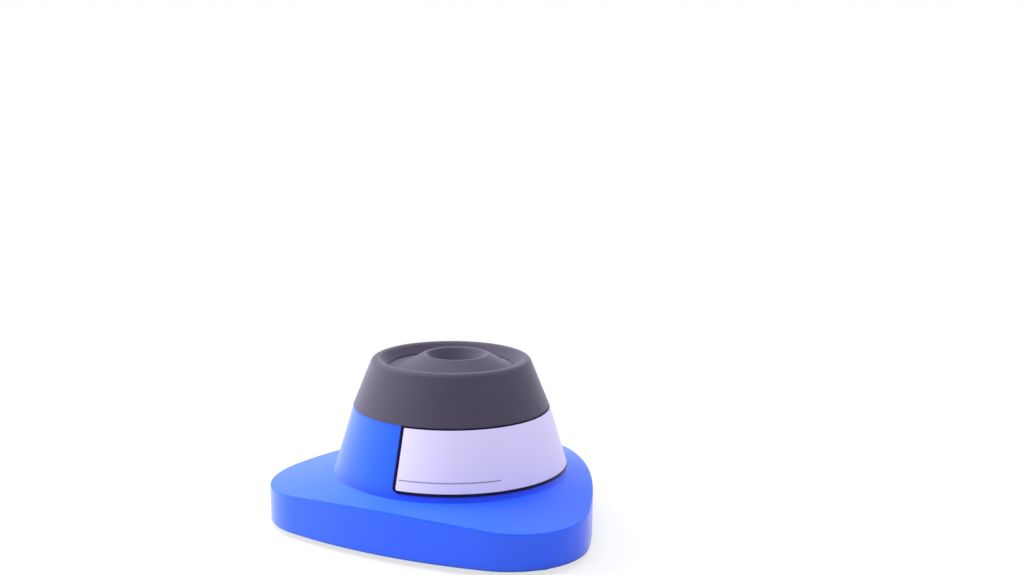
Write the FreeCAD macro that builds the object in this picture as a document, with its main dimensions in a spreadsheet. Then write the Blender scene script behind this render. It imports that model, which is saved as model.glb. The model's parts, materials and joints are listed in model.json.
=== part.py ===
import FreeCAD, Part
import math
import os
from types import SimpleNamespace

import Sketcher

# Touch-run vortex mixer. A three-cornered plinth carries a tapered housing. A soft cover ring closes the top
# and a soft cup orbits in it. A sprung motor bracket sinks under the hand and works the switch.
# Heights run up from the tabletop, and every piece is placed from the drive axis.

# Driving sizes in millimetres, and angles in degrees
SIZES = {
    # Plinth and housing
    "foot_height": 2.0,
    "side_reach": 53.8,
    "side_arc": 185.0,
    "corner_reach": 69.7,
    "skirt_corner_height": 13.4,
    "skirt_top_height": 18.6,
    "skirt_arc": 1000.0,
    "skirt_edge_round": 0.6,
    "waist_radius": 45.0,
    "waist_round": 0.5,
    "shell_wall": 2.5,
    "plate_wall": 2.5,
    "plate_fit": 0.15,
    "collar_inset": 3.9,
    "collar_wall": 2.0,
    "collar_height": 5.0,
    # Cover ring
    "cover_height": 18.35,
    "cover_slope": 22.4,
    "cover_wall": 2.0,
    "cover_overhang": 0.25,
    "cover_edge_round": 0.2,
    "cover_fit": 0.1,
    "rim_round": 2.4,
    "rim_slope": 47.5,
    "lip_straight": 0.3,
    "lip_gap": 0.1,
    # Cup
    "cup_lip_radius": 12.0,
    "cup_lip_round": 1.5,
    "cup_lip_stand": 1.0,
    "cup_floor": 2.0,
    "well_floor_radius": 3.5,
    "well_slope": 36.0,
    "mound_slope": 29.0,
    "mound_fillet": 3.5,
    "trough_gap": 1.1,
    "flange_overlap": 0.6,
    "flange_wall": 1.6,
    "swing_gap": 0.5,
    "plug_radius": 13.0,
    "plug_seat_width": 3.0,
    "seat_fit": 0.05,
    # Cup carrier
    "carrier_wall": 1.6,
    "carrier_floor_wall": 1.5,
    "carrier_rim_height": 4.7,
    "carrier_hub_wall": 2.2,
    "carrier_clearance": 0.5,
    "carrier_hub_drop": 0.2,
    # Eccentric drive
    "orbit": 2.0,
    "press_travel": 1.2,
    "press_fit": 0.02,
    "running_fit": 0.03,
    "hub_clearance": 2.2,
    "hub_thickness": 3.5,
    "hub_radius": 6.0,
    "counterweight_radius": 13.0,
    "set_screw_radius": 1.5,
    "shaft_end_gap": 1.3,
    "pin_proud": 0.3,
    # Ball bearing
    "bearing_bore_radius": 4.0,
    "bearing_radius": 8.0,
    "bearing_width": 5.0,
    "bearing_step": 0.4,
    "bearing_step_wall": 0.8,
    "ball_radius": 1.15,
    "ball_clearance": 0.05,
    "race_wall": 1.2,
    "cage_wall": 1.0,
    "cage_height": 3.6,
    # Motor
    "motor_clearance": 4.9,
    "motor_length": 28.0,
    "motor_radius": 12.2,
    "motor_wall": 1.0,
    "end_cap_wall": 2.0,
    "end_cap_spigot": 2.0,
    "shaft_radius": 1.0,
    "front_bush_radius": 3.0,
    "front_boss_height": 1.5,
    "rear_bush_radius": 2.8,
    "rear_boss_height": 1.0,
    "bush_depth": 3.0,
    "magnet_wall": 1.95,
    "magnet_length": 16.0,
    "magnet_spacing": 8.0,
    "air_gap": 0.4,
    "core_length": 14.0,
    "slot_radius": 2.7,
    "slot_circle": 5.4,
    "slot_mouth": 1.4,
    "winding_radius": 2.5,
    "winding_overhang": 1.5,
    "commutator_radius": 2.5,
    "commutator_length": 3.0,
    "brush_length": 1.85,
    "brush_width": 1.8,
    "brush_height": 0.9,
    "terminal_reach": 8.2,
    "terminal_width": 2.5,
    "terminal_length": 2.5,
    "terminal_wall": 0.5,
    # Sprung bracket
    "bracket_wall": 2.0,
    "bracket_margin": 6.0,
    "boss_fit": 0.2,
    "motor_screw_spacing": 17.0,
    "motor_screw_radius": 1.3,
    "motor_screw_head": 2.5,
    "motor_screw_head_height": 1.6,
    "motor_screw_depth": 1.8,
    "post_circle": 23.0,
    "post_radius": 4.5,
    "spring_length": 10.0,
    "spring_radius": 3.1,
    "spring_wire": 0.4,
    "spring_turns": 5.5,
    "spring_gap": 0.1,
    "guide_radius": 2.0,
    "guide_fit": 0.05,
    "bush_wall": 1.45,
    "bush_flange_radius": 5.0,
    "bush_flange_wall": 1.0,
    "guide_head_radius": 4.0,
    "guide_head_height": 2.6,
    "guide_socket_radius": 1.5,
    "guide_socket_depth": 1.5,
    "guide_thread_radius": 1.5,
    "guide_thread_length": 10.0,
    # Switch
    "switch_length": 19.8,
    "switch_wall": 6.4,
    "switch_height": 10.2,
    "switch_reach": 22.2,
    "plunger_radius": 1.4,
    "plunger_stand": 1.6,
    "plunger_depth": 3.0,
    "plunger_gap": 0.05,
    "plunger_fit": 0.1,
    "switch_screw_spacing": 9.5,
    "switch_screw_radius": 1.1,
    "switch_screw_height": 3.0,
    "switch_screw_head": 1.9,
    "switch_screw_head_height": 1.3,
    "switch_screw_bite": 2.4,
    "tag_spacing": 8.0,
    "tag_width": 3.2,
    "tag_wall": 0.5,
    "tag_length": 4.0,
    "tower_wall": 3.2,
    "tower_drop": 1.8,
    # Power inlet
    "jack_height": 8.6,
    "jack_flange_radius": 5.4,
    "jack_flange_wall": 1.6,
    "jack_barrel_radius": 3.9,
    "jack_barrel_length": 12.0,
    "jack_bore_radius": 2.85,
    "jack_bore_depth": 10.6,
    "jack_pin_radius": 1.05,
    "jack_pin_recess": 1.6,
    "jack_fit": 0.1,
    "jack_setback": 0.2,
    "jack_pad_wall": 2.0,
    "jack_pad_width": 14.0,
    "jack_nut_flats": 11.0,
    "jack_nut_wall": 2.2,
    "jack_tag_length": 4.5,
    "jack_tag_width": 2.4,
    "jack_tag_offset": 2.0,
    "jack_tag_wall": 0.5,
    # Base fasteners, feet and ballast
    "foot_circle": 60.0,
    "foot_radius": 5.75,
    "foot_recess": 0.8,
    "foot_fit": 0.1,
    "foot_stem_radius": 2.4,
    "foot_bulb_radius": 3.2,
    "foot_bulb_height": 1.0,
    "screw_circle": 47.0,
    "boss_radius": 3.5,
    "screw_radius": 1.4,
    "screw_head_radius": 2.8,
    "screw_head_height": 1.4,
    "screw_recess": 1.5,
    "screw_bite": 8.0,
    "ballast_inner": 31.0,
    "ballast_radius": 41.5,
    "ballast_wall": 5.0,
    "ballast_notch": 18.0,
    "peg_circle": 36.25,
    "peg_radius": 1.75,
    "peg_lug_wall": 2.0,
    "peg_proud": 0.8,
    "boss_gap": 0.4,
    # Label and leads
    "label_low": 20.85,
    "label_top_gap": 0.05,
    "label_angle": 120.0,
    "label_wall": 0.2,
    "label_gap": 0.1,
    "label_corner": 1.5,
    "lead_radius": 0.7,
    "lead_gap": 0.3,
    # Allowance by which a cutting tool runs past the face it opens
    "past": 1.0,
}

CORNERS = {"front": -90, "right": 30, "left": 150}
WINDINGS = (60, 180, 300)
BALLS = 8


class Size:
    """A length or angle: its number, and the sheet expression that drives it."""

    def __init__(self, value, text):
        self.value = value
        self.text = text

    def __add__(self, other):
        return joined(self, "+", other)

    def __radd__(self, other):
        return joined(other, "+", self)

    def __sub__(self, other):
        return joined(self, "-", other)

    def __rsub__(self, other):
        return joined(other, "-", self)

    def __mul__(self, other):
        return joined(self, "*", other)

    def __rmul__(self, other):
        return joined(other, "*", self)

    def __truediv__(self, other):
        return joined(self, "/", other)

    def __rtruediv__(self, other):
        return joined(other, "/", self)

    def __neg__(self):
        return joined(0, "-", self)


def as_size(item):
    """Give a plain number the form of a Size."""
    if isinstance(item, Size):
        return item
    return Size(float(item), f"({item})")


def joined(first, sign, second):
    """Combine two sizes, as numbers and as an expression."""
    first = as_size(first)
    second = as_size(second)
    numbers = {
        "+": lambda: first.value + second.value,
        "-": lambda: first.value - second.value,
        "*": lambda: first.value * second.value,
        "/": lambda: first.value / second.value,
    }
    return Size(numbers[sign](), f"({first.text} {sign} {second.text})")


def angle_function(name, angle):
    """Sine, cosine or tangent of an angle in degrees."""
    angle = as_size(angle)
    number = getattr(math, name)(math.radians(angle.value))
    return Size(number, f"{name}({angle.text} * 1 deg)")


def sine(angle):
    return angle_function("sin", angle)


def cosine(angle):
    return angle_function("cos", angle)


def tangent(angle):
    return angle_function("tan", angle)


def polar(radius, angle):
    """The point at a radius and an angle about the drive axis."""
    return radius * cosine(angle), radius * sine(angle)


doc = FreeCAD.newDocument("vortex_mixer")
sheet = doc.addObject("Spreadsheet::Sheet", "Sizes")
for row, (alias, number) in enumerate(SIZES.items(), start=1):
    sheet.set(f"A{row}", alias)
    sheet.set(f"B{row}", str(number))
    sheet.setAlias(f"B{row}", alias)
doc.recompute()
s = SimpleNamespace(**{alias: Size(number, f"Sizes.{alias}") for alias, number in SIZES.items()})
sub_parts = []

# Levels above the tabletop, from the plinth's edge up through the drive to the cup's lip
plinth_low = s.foot_height
plate_high = plinth_low + s.plate_wall
motor_low = plate_high + s.motor_clearance
motor_high = motor_low + s.motor_length
bracket_high = motor_high + s.bracket_wall
hub_low = bracket_high + s.hub_clearance
hub_high = hub_low + s.hub_thickness
bearing_low = hub_high + s.bearing_step
bearing_high = bearing_low + s.bearing_width
pin_high = bearing_high + s.pin_proud
carrier_low = pin_high + s.carrier_clearance
carrier_floor = carrier_low + s.carrier_floor_wall
carrier_rim = carrier_floor + s.carrier_rim_height
plug_low = carrier_floor + s.seat_fit
well_low = plug_low + s.cup_floor
well_run = s.cup_lip_radius - s.cup_lip_round * cosine(s.well_slope) - s.well_floor_radius
well_rise = well_run / tangent(s.well_slope)
lip_center = well_low + well_rise - s.cup_lip_round * sine(s.well_slope)
lip_high = lip_center + s.cup_lip_round
rim_high = lip_high - s.cup_lip_stand
shoulder = rim_high - s.cover_height
collar_high = shoulder + s.collar_height
waist = plinth_low + s.skirt_top_height
skirt_corner = plinth_low + s.skirt_corner_height

# Radii of the cover's round rim and of the cup's flange, which swings below it. The rim stands so far
# above the flange that its inner slope runs from the lip up into its round
lip_drop = s.lip_straight + s.lip_gap
cover_wall_across = s.cover_wall / cosine(s.cover_slope)
flange_swing = s.orbit * 2 + s.flange_overlap + s.swing_gap
rim_reach = flange_swing + cover_wall_across + s.rim_round * (
    tangent(s.cover_slope) - 1 / cosine(s.cover_slope))
rim_drop = (rim_reach * sine(s.rim_slope) + (s.rim_round + lip_drop) * cosine(s.rim_slope) - s.rim_round) / (
    sine(s.rim_slope) * tangent(s.cover_slope) + cosine(s.rim_slope))
flange_high = rim_high - rim_drop
flange_low = flange_high - s.flange_wall
mound_top_radius = s.cup_lip_radius + s.cup_lip_round * sine(s.mound_slope)
mound_top = lip_center + s.cup_lip_round * cosine(s.mound_slope)
mound_foot = mound_top_radius + (mound_top - flange_high) / tangent(s.mound_slope)
rim_inner = mound_foot + s.orbit + s.trough_gap
rim_radius = rim_inner + rim_reach - rim_drop * tangent(s.cover_slope)
flange_radius = rim_inner + s.orbit + s.flange_overlap
cover_flange_radius = flange_radius + s.orbit + s.swing_gap + cover_wall_across
cover_low_radius = cover_flange_radius + (flange_high - shoulder) * tangent(s.cover_slope)
shoulder_radius = cover_low_radius - s.cover_overhang
collar_radius = cover_low_radius - s.collar_inset
cone_taper = (s.waist_radius - shoulder_radius) / (shoulder - waist)

# The footprint's middle is the origin, so the drive axis stands this far behind it
axis_y = (s.corner_reach - s.side_reach) / 2


def bind(thing, name, value):
    """Drive one property of an object by an expression."""
    thing.setExpression(name, as_size(value).text)


def place(thing, x, y, z):
    """Put an object at a point measured from the drive axis."""
    bind(thing, "Placement.Base.x", x)
    bind(thing, "Placement.Base.y", axis_y + y)
    bind(thing, "Placement.Base.z", z)
    return thing


def cylinder(name, radius, low, high, x=0, y=0):
    """An upright cylinder between two levels."""
    thing = doc.addObject("Part::Cylinder", name)
    bind(thing, "Radius", radius)
    bind(thing, "Height", high - low)
    return place(thing, x, y, low)


def rod(name, radius, start, length, heading):
    """A level cylinder that starts at a point and runs at a heading, counted in degrees from X."""
    thing = doc.addObject("Part::Cylinder", name)
    level = FreeCAD.Rotation(FreeCAD.Vector(0, 1, 0), 90)
    turn = FreeCAD.Rotation(FreeCAD.Vector(0, 0, 1), heading)
    thing.Placement = FreeCAD.Placement(FreeCAD.Vector(), turn * level)
    bind(thing, "Radius", radius)
    bind(thing, "Height", length)
    return place(thing, *start)


def block(name, x_span, y_span, z_span):
    """A box between pairs of faces."""
    thing = doc.addObject("Part::Box", name)
    for side, (low, high) in zip(("Length", "Width", "Height"), (x_span, y_span, z_span)):
        bind(thing, side, high - low)
    return place(thing, x_span[0], y_span[0], z_span[0])


def ball(name, radius, x, y, z):
    thing = doc.addObject("Part::Sphere", name)
    bind(thing, "Radius", radius)
    return place(thing, x, y, z)


def fuse(name, things):
    thing = doc.addObject("Part::MultiFuse", name)
    thing.Shapes = things
    return thing


def cut(name, base, tools):
    thing = doc.addObject("Part::Cut", name)
    thing.Base = base
    thing.Tool = tools[0] if len(tools) == 1 else fuse(name + "_tools", tools)
    return thing


def common(name, first, second):
    thing = doc.addObject("Part::Common", name)
    thing.Base = first
    thing.Tool = second
    return thing


def group(name, things):
    """Like pieces that share one node, each a solid of its own."""
    thing = doc.addObject("Part::Compound", name)
    thing.Links = things
    return thing


def tube(name, inner, outer, low, high, x=0, y=0):
    """An upright ring between two radii and two levels."""
    hole = cylinder(name + "_hole", inner, low - s.past, high + s.past, x, y)
    return cut(name, cylinder(name + "_outside", outer, low, high, x, y), [hole])


def sub_part(thing, label):
    """Name a finished piece and keep it for the export."""
    thing.Label = label
    sub_parts.append(thing)
    return thing


def new_sketch(body, name, plane, offset=0):
    """A sketch on one of the body's own origin planes."""
    sketch = body.newObject("Sketcher::SketchObject", name)
    support = [item for item in body.Origin.OriginFeatures if item.Role == plane][0]
    sketch.AttachmentSupport = (support, "")
    sketch.MapMode = "FlatFace"
    bind(sketch, "AttachmentOffset.Base.z", offset)
    return sketch


def arc_between(first, last, radius):
    """The short arc between two points, bulging right for a positive radius and left for a negative."""
    chord = last - first
    height = math.sqrt(radius ** 2 - chord.Length ** 2 / 4)
    left = FreeCAD.Vector(-chord.y, chord.x, 0).normalize()
    center = (first + last) / 2 + left * math.copysign(height, radius)
    ends = (first, last) if radius > 0 else (last, first)
    turns = [math.atan2(end.y - center.y, end.x - center.x) for end in ends]
    circle = Part.Circle(center, FreeCAD.Vector(0, 0, 1), abs(radius))
    return Part.ArcOfCircle(circle, *turns)


def constrain(sketch, kind, numbers, value):
    """Add a dimension and drive it from the sheet."""
    value = as_size(value)
    index = sketch.addConstraint(Sketcher.Constraint(kind, *numbers, value.value))
    bind(sketch, f"Constraints[{index}]", value)


def draw_loop(sketch, corners):
    """Draw a closed outline. A corner is x, y and, where an arc leaves it, that arc's radius."""
    points = [FreeCAD.Vector(as_size(corner[0]).value, as_size(corner[1]).value, 0) for corner in corners]
    sides = []
    for number, corner in enumerate(corners):
        first = points[number]
        last = points[(number + 1) % len(points)]
        if len(corner) == 2:
            sides.append((sketch.addGeometry(Part.LineSegment(first, last), False), 1, 2))
            continue
        radius = as_size(corner[2])
        side = sketch.addGeometry(arc_between(first, last, radius.value), False)
        sides.append((side, 1, 2) if radius.value > 0 else (side, 2, 1))
    for number, (side, start, end) in enumerate(sides):
        following = sides[(number + 1) % len(sides)]
        sketch.addConstraint(Sketcher.Constraint("Coincident", side, end, following[0], following[1]))
    for corner, (side, start, end) in zip(corners, sides):
        constrain(sketch, "DistanceX", (-1, 1, side, start), corner[0])
        constrain(sketch, "DistanceY", (-1, 1, side, start), corner[1])
        if len(corner) == 3:
            radius = as_size(corner[2])
            constrain(sketch, "Radius", (side,), radius if radius.value > 0 else -radius)


def turned(name, corners, x=0):
    """A body turned about an upright axis from a half section of radii and levels."""
    body = doc.addObject("PartDesign::Body", name)
    sketch = new_sketch(body, name + "_section", "XZ_Plane")
    draw_loop(sketch, corners)
    turning = body.newObject("PartDesign::Revolution", name + "_turning")
    turning.Profile = sketch
    turning.ReferenceAxis = (sketch, ["V_Axis"])
    turning.Angle = 360
    return place(body, x, 0, 0)


def padded(name, corners, low, high, plane="XY_Plane"):
    """A body raised from an outline between two levels, or forwards from an upright outline."""
    body = doc.addObject("PartDesign::Body", name)
    sketch = new_sketch(body, name + "_outline", plane, low)
    draw_loop(sketch, corners)
    raising = body.newObject("PartDesign::Pad", name + "_raising")
    raising.Profile = sketch
    bind(raising, "Length", high - low)
    return place(body, 0, 0, 0)


def rounded_edges(body, name, radius, chosen):
    """Round the edges of a body's last feature that the test picks by their middle point."""
    doc.recompute()
    base = body.Tip
    edges = []
    for number, edge in enumerate(base.Shape.Edges, start=1):
        middle = edge.valueAt((edge.FirstParameter + edge.LastParameter) / 2)
        if chosen(edge, math.hypot(middle.x, middle.y), middle.z):
            edges.append(f"Edge{number}")
    rounding = body.newObject("PartDesign::Fillet", name)
    rounding.Base = (base, edges)
    bind(rounding, "Radius", radius)


def plinth_outline(inset):
    """Three bowed sides and three round corners that run into each other, moved inwards by an inset."""
    offset = s.side_arc - s.side_reach
    reach = s.corner_reach
    squares = reach * reach + offset * offset + reach * offset - s.side_arc * s.side_arc
    corner_round = squares / (reach * 2 + offset - s.side_arc * 2)
    corner_center = reach - corner_round
    span = s.side_arc - corner_round
    bow = s.side_arc - inset
    x = bow * corner_center * sine(60) / span
    y = bow * (corner_center * cosine(60) + offset) / span - offset
    outline = []
    for turn in (0, 120, 240):
        for across, radius in ((x, bow), (-x, corner_round - inset)):
            turned_x = across * cosine(turn) - y * sine(turn)
            turned_y = across * sine(turn) + y * cosine(turn)
            outline.append((turned_x, turned_y, radius))
    return outline


# Housing shell: plinth with a flared skirt, tapered neck, and a collar for the cover
def skirt_line(drop):
    """The flared skirt's profile from the corners in to the waist, lowered by a drop."""
    return [(s.corner_reach, skirt_corner - drop, -s.skirt_arc), (s.waist_radius, waist - drop)]


def reversed_line(line):
    """The same two corners walked the other way, so that the arc keeps its bulge."""
    (first_x, first_y, radius), (last_x, last_y) = line
    return [(last_x, last_y, -radius), (first_x, first_y)]


def make_housing():
    outside = padded("housing_outside", plinth_outline(as_size(0)), plinth_low, waist)
    groove_sketch = new_sketch(outside, "skirt_section", "XZ_Plane")
    beyond = s.corner_reach + s.past
    above = waist + s.past
    draw_loop(groove_sketch, [(beyond, skirt_corner), (beyond, above), (s.waist_radius, above)]
              + reversed_line(skirt_line(0)))
    groove = outside.newObject("PartDesign::Groove", "skirt")
    groove.Profile = groove_sketch
    groove.ReferenceAxis = (groove_sketch, ["V_Axis"])
    groove.Angle = 360
    rounded_edges(
        outside, "skirt_edge", s.skirt_edge_round,
        lambda edge, radius, level: radius > s.waist_radius.value + 1 and level > skirt_corner.value - 0.5
        and edge.Curve.TypeId != "Part::GeomLine")
    neck_sketch = new_sketch(outside, "neck_section", "XZ_Plane")
    draw_loop(neck_sketch, [
        (0, waist - s.past), (s.waist_radius, waist - s.past), (s.waist_radius, waist),
        (shoulder_radius, shoulder), (collar_radius, shoulder),
        (collar_radius, collar_high), (0, collar_high)])
    neck = outside.newObject("PartDesign::Revolution", "neck")
    neck.Profile = neck_sketch
    neck.ReferenceAxis = (neck_sketch, ["V_Axis"])
    neck.Angle = 360
    rounded_edges(
        outside, "waist_fillet", s.waist_round,
        lambda edge, radius, level: math.hypot(radius - s.waist_radius.value, level - waist.value) < 0.01)

    cavity_corner = s.corner_reach + s.past
    below = plinth_low - s.past
    skirt_inside = common(
        "skirt_inside", padded("plinth_inside", plinth_outline(s.shell_wall), below, waist),
        turned("skirt_room", [
            (0, below), (cavity_corner, below), (cavity_corner, skirt_corner - s.shell_wall)]
            + skirt_line(s.shell_wall) + [(0, waist - s.shell_wall)]))
    wall_across = s.shell_wall + s.shell_wall * cone_taper * cone_taper / 2
    collar_inner = collar_radius - s.collar_wall
    neck_inside = turned("neck_inside", [
        (0, plate_high), (s.waist_radius - wall_across, plate_high), (s.waist_radius - wall_across, waist),
        (shoulder_radius - wall_across, shoulder - s.shell_wall), (collar_inner, shoulder - s.shell_wall),
        (collar_inner, collar_high + s.past), (0, collar_high + s.past)])
    shell = cut("housing_hollow", outside, [skirt_inside, neck_inside])

    bosses = []
    holes = []
    boss_high = waist - s.shell_wall * 0.8
    for corner, angle in CORNERS.items():
        x, y = polar(s.screw_circle, angle)
        bosses.append(cylinder(f"boss_{corner}", s.boss_radius, plate_high + s.seat_fit, boss_high, x, y))
        holes.append(cylinder(f"boss_hole_{corner}", s.screw_radius + s.press_fit, plate_high,
                              plate_high + s.screw_bite + s.past, x, y))
        x, y = polar(s.foot_circle, angle)
        holes.append(cylinder(f"shell_recess_{corner}", s.foot_radius + s.foot_fit, below, recess_high, x, y))
        holes.append(cylinder(f"shell_bulb_room_{corner}", s.foot_bulb_radius + s.foot_fit,
                              plinth_low, bulb_high + s.foot_fit, x, y))
    under_skirt = turned("under_skirt", [
        (0, below), (cavity_corner, below), (cavity_corner, skirt_corner - s.shell_wall / 2)]
        + skirt_line(s.shell_wall / 2) + [(0, waist - s.shell_wall / 2)])
    added = [common("bosses", fuse("boss_set", bosses), under_skirt)]
    half_pad = s.jack_pad_width / 2
    added.append(block("jack_pad", (-half_pad, half_pad), (jack_pad_face, s.side_reach - s.shell_wall / 2),
                       (jack_level - s.jack_flange_radius, jack_level + s.jack_flange_radius)))
    holes.append(rod("jack_hole", s.jack_barrel_radius + s.jack_fit,
                     (0, jack_pad_face - s.past, jack_level), s.side_reach, 90))
    holes.append(rod("jack_recess", s.jack_flange_radius + s.jack_fit,
                     (0, jack_seat, jack_level), s.side_reach, 90))
    sub_part(cut("housing", fuse("housing_solid", [shell] + added), holes), "housing_shell")


# Power inlet, square through the middle of the rear side
jack_level = plinth_low + s.jack_height
jack_face = s.side_reach - s.jack_setback
jack_seat = jack_face - s.jack_flange_wall
jack_pad_face = s.side_reach - s.shell_wall - s.jack_pad_wall
jack_end = jack_seat - s.jack_barrel_length


def make_jack():
    bore_end = jack_face - s.jack_bore_depth
    flange = rod("jack_flange", s.jack_flange_radius, (0, jack_seat, jack_level), s.jack_flange_wall, 90)
    barrel = rod("jack_barrel", s.jack_barrel_radius, (0, jack_end, jack_level), jack_seat - jack_end, 90)
    bore = rod("jack_bore", s.jack_bore_radius, (0, bore_end, jack_level),
               s.jack_bore_depth + s.past, 90)
    pin_start = (jack_end + bore_end) / 2
    pin_length = jack_face - s.jack_pin_recess - pin_start
    pin_hole = rod("jack_pin_hole", s.jack_pin_radius + s.press_fit, (0, pin_start, jack_level),
                   pin_length, 90)
    body = cut("jack_body", fuse("jack_solid", [flange, barrel]), [bore, pin_hole])
    sub_part(body, "dc_jack_body")
    pin = rod("jack_pin", s.jack_pin_radius, (0, pin_start, jack_level), pin_length, 90)
    sub_part(pin, "dc_jack_pin")

    nut = doc.addObject("Part::Prism", "jack_nut_hex")
    nut.Polygon = 6
    # The prism's own X axis points sideways, so a pair of flats lies level
    nut.Placement = FreeCAD.Placement(FreeCAD.Vector(), FreeCAD.Rotation(FreeCAD.Vector(1, 0, 0), -90))
    bind(nut, "Circumradius", s.jack_nut_flats / cosine(30) / 2)
    bind(nut, "Height", s.jack_nut_wall)
    place(nut, 0, jack_pad_face - s.jack_nut_wall, jack_level)
    nut_hole = rod("jack_nut_hole", s.jack_barrel_radius + s.press_fit,
                   (0, jack_pad_face - s.jack_nut_wall - s.past, jack_level),
                   s.jack_nut_wall + s.past * 2, 90)
    sub_part(cut("jack_nut", nut, [nut_hole]), "dc_jack_nut")

    half = s.jack_tag_width / 2
    half_wall = s.jack_tag_wall / 2
    tags = []
    upper = jack_level + s.jack_tag_offset
    lower = jack_level - s.jack_tag_offset
    for name, level in (("upper", upper), ("lower", lower)):
        tags.append(block(f"jack_tag_{name}", (-half, half), (jack_end - s.jack_tag_length, jack_end),
                          (level - half_wall, level + half_wall)))
    sub_part(group("jack_tags", tags), "dc_jack_tags")


# Bottom plate with its guide posts, switch tower and ballast pegs, and the pieces fixed to it
post_high = motor_high - s.spring_length
tower_face = s.switch_reach - s.switch_wall / 2
switch_high = motor_high - s.plunger_gap - s.plunger_stand
switch_low = switch_high - s.switch_height
switch_screw_level = switch_low + s.switch_screw_height
ballast_high = plate_high + s.ballast_wall
recess_high = plinth_low + s.foot_recess
bulb_low = plate_high + s.seat_fit
bulb_high = bulb_low + s.foot_bulb_height


def make_bottom_plate():
    solids = [padded("plate", plinth_outline(s.shell_wall + s.plate_fit), plinth_low, plate_high)]
    holes = []
    for corner, angle in CORNERS.items():
        x, y = polar(s.post_circle, angle)
        solids.append(cylinder(f"post_{corner}", s.post_radius, plinth_low, post_high, x, y))
        thread_low = post_high - s.guide_thread_length
        holes.append(cylinder(f"post_hole_{corner}", s.guide_thread_radius + s.press_fit,
                              thread_low - s.past, post_high + s.past, x, y))
        x, y = polar(s.peg_circle, angle)
        peg_high = ballast_high + s.peg_proud
        solids.append(cylinder(f"peg_{corner}", s.peg_radius, plinth_low, peg_high, x, y))
        x, y = polar(s.screw_circle, angle)
        holes.append(cylinder(f"plate_hole_{corner}", s.screw_radius + s.plate_fit,
                              plinth_low - s.past, plate_high + s.past, x, y))
        holes.append(cylinder(f"plate_recess_{corner}", s.screw_head_radius + s.plate_fit,
                              plinth_low - s.past, plinth_low + s.screw_recess, x, y))
        x, y = polar(s.foot_circle, angle)
        holes.append(cylinder(f"foot_hole_{corner}", s.foot_stem_radius + s.foot_fit,
                              plinth_low - s.past, plate_high + s.past, x, y))
        holes.append(cylinder(f"foot_recess_{corner}", s.foot_radius + s.foot_fit,
                              plinth_low - s.past, plinth_low + s.foot_recess, x, y))
    half_length = s.switch_length / 2
    solids.append(block("tower", (-half_length, half_length), (tower_face - s.tower_wall, tower_face),
                        (plinth_low, switch_high - s.tower_drop)))
    half_spacing = s.switch_screw_spacing / 2
    for name, x in (("left", -half_spacing), ("right", half_spacing)):
        holes.append(rod(f"tower_hole_{name}", s.switch_screw_radius + s.press_fit,
                         (x, tower_face - s.switch_screw_bite - s.plate_fit, switch_screw_level),
                         s.switch_screw_bite + s.past, 90))
    sub_part(cut("bottom", fuse("plate_solid", solids), holes), "bottom_plate")


def make_base_fixings():
    screws = []
    for corner, angle in CORNERS.items():
        x, y = polar(s.screw_circle, angle)
        head_high = plinth_low + s.screw_recess
        head_low = head_high - s.screw_head_height
        head = cylinder(f"screw_head_{corner}", s.screw_head_radius, head_low, head_high, x, y)
        shank = cylinder(f"screw_shank_{corner}", s.screw_radius, head_high, plate_high + s.screw_bite, x, y)
        slot_half = s.screw_radius / 2
        slot = block(f"screw_slot_{corner}", (x - s.screw_head_radius, x + s.screw_head_radius),
                     (y - slot_half / 2, y + slot_half / 2),
                     (head_low - s.past, head_low + slot_half))
        screws.append(cut(f"screw_{corner}", fuse(f"screw_solid_{corner}", [head, shank]), [slot]))
    sub_part(group("base_screw_set", screws), "base_screws")

    for corner, label in (("front", "foot_front"), ("left", "foot_rear_left"), ("right", "foot_rear_right")):
        x, y = polar(s.foot_circle, CORNERS[corner])
        pad = cylinder(f"{label}_pad", s.foot_radius, as_size(0), recess_high, x, y)
        stem = cylinder(f"{label}_stem", s.foot_stem_radius, recess_high, bulb_high, x, y)
        bulb = cylinder(f"{label}_bulb", s.foot_bulb_radius, bulb_low, bulb_high, x, y)
        x, y = polar(s.screw_circle, CORNERS[corner])
        relief = cylinder(f"{label}_relief", s.boss_radius + s.boss_gap, -s.past, bulb_high + s.past, x, y)
        sub_part(cut(f"{label}_cut", fuse(f"{label}_solid", [pad, stem, bulb]), [relief]), label)

    solids = [tube("ballast_ring", s.ballast_inner, s.ballast_radius, plate_high, ballast_high)]
    half_notch = s.ballast_notch / 2
    openings = [block("ballast_notch_tool", (-half_notch, half_notch),
                      (as_size(0), s.ballast_radius + s.past),
                      (plate_high - s.past, ballast_high + s.past))]
    for corner, angle in CORNERS.items():
        x, y = polar(s.peg_circle, angle)
        hole = s.peg_radius + s.plate_fit
        solids.append(cylinder(f"ballast_lug_{corner}", hole + s.peg_lug_wall,
                               plate_high, ballast_high, x, y))
        openings.append(cylinder(f"ballast_hole_{corner}", hole,
                                 plate_high - s.past, ballast_high + s.past, x, y))
        x, y = polar(s.screw_circle, angle)
        openings.append(cylinder(f"ballast_relief_{corner}", s.boss_radius + s.boss_gap,
                                 plate_high - s.past, ballast_high + s.past, x, y))
    sub_part(cut("ballast", fuse("ballast_solid", solids), openings), "ballast_plate")


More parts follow.
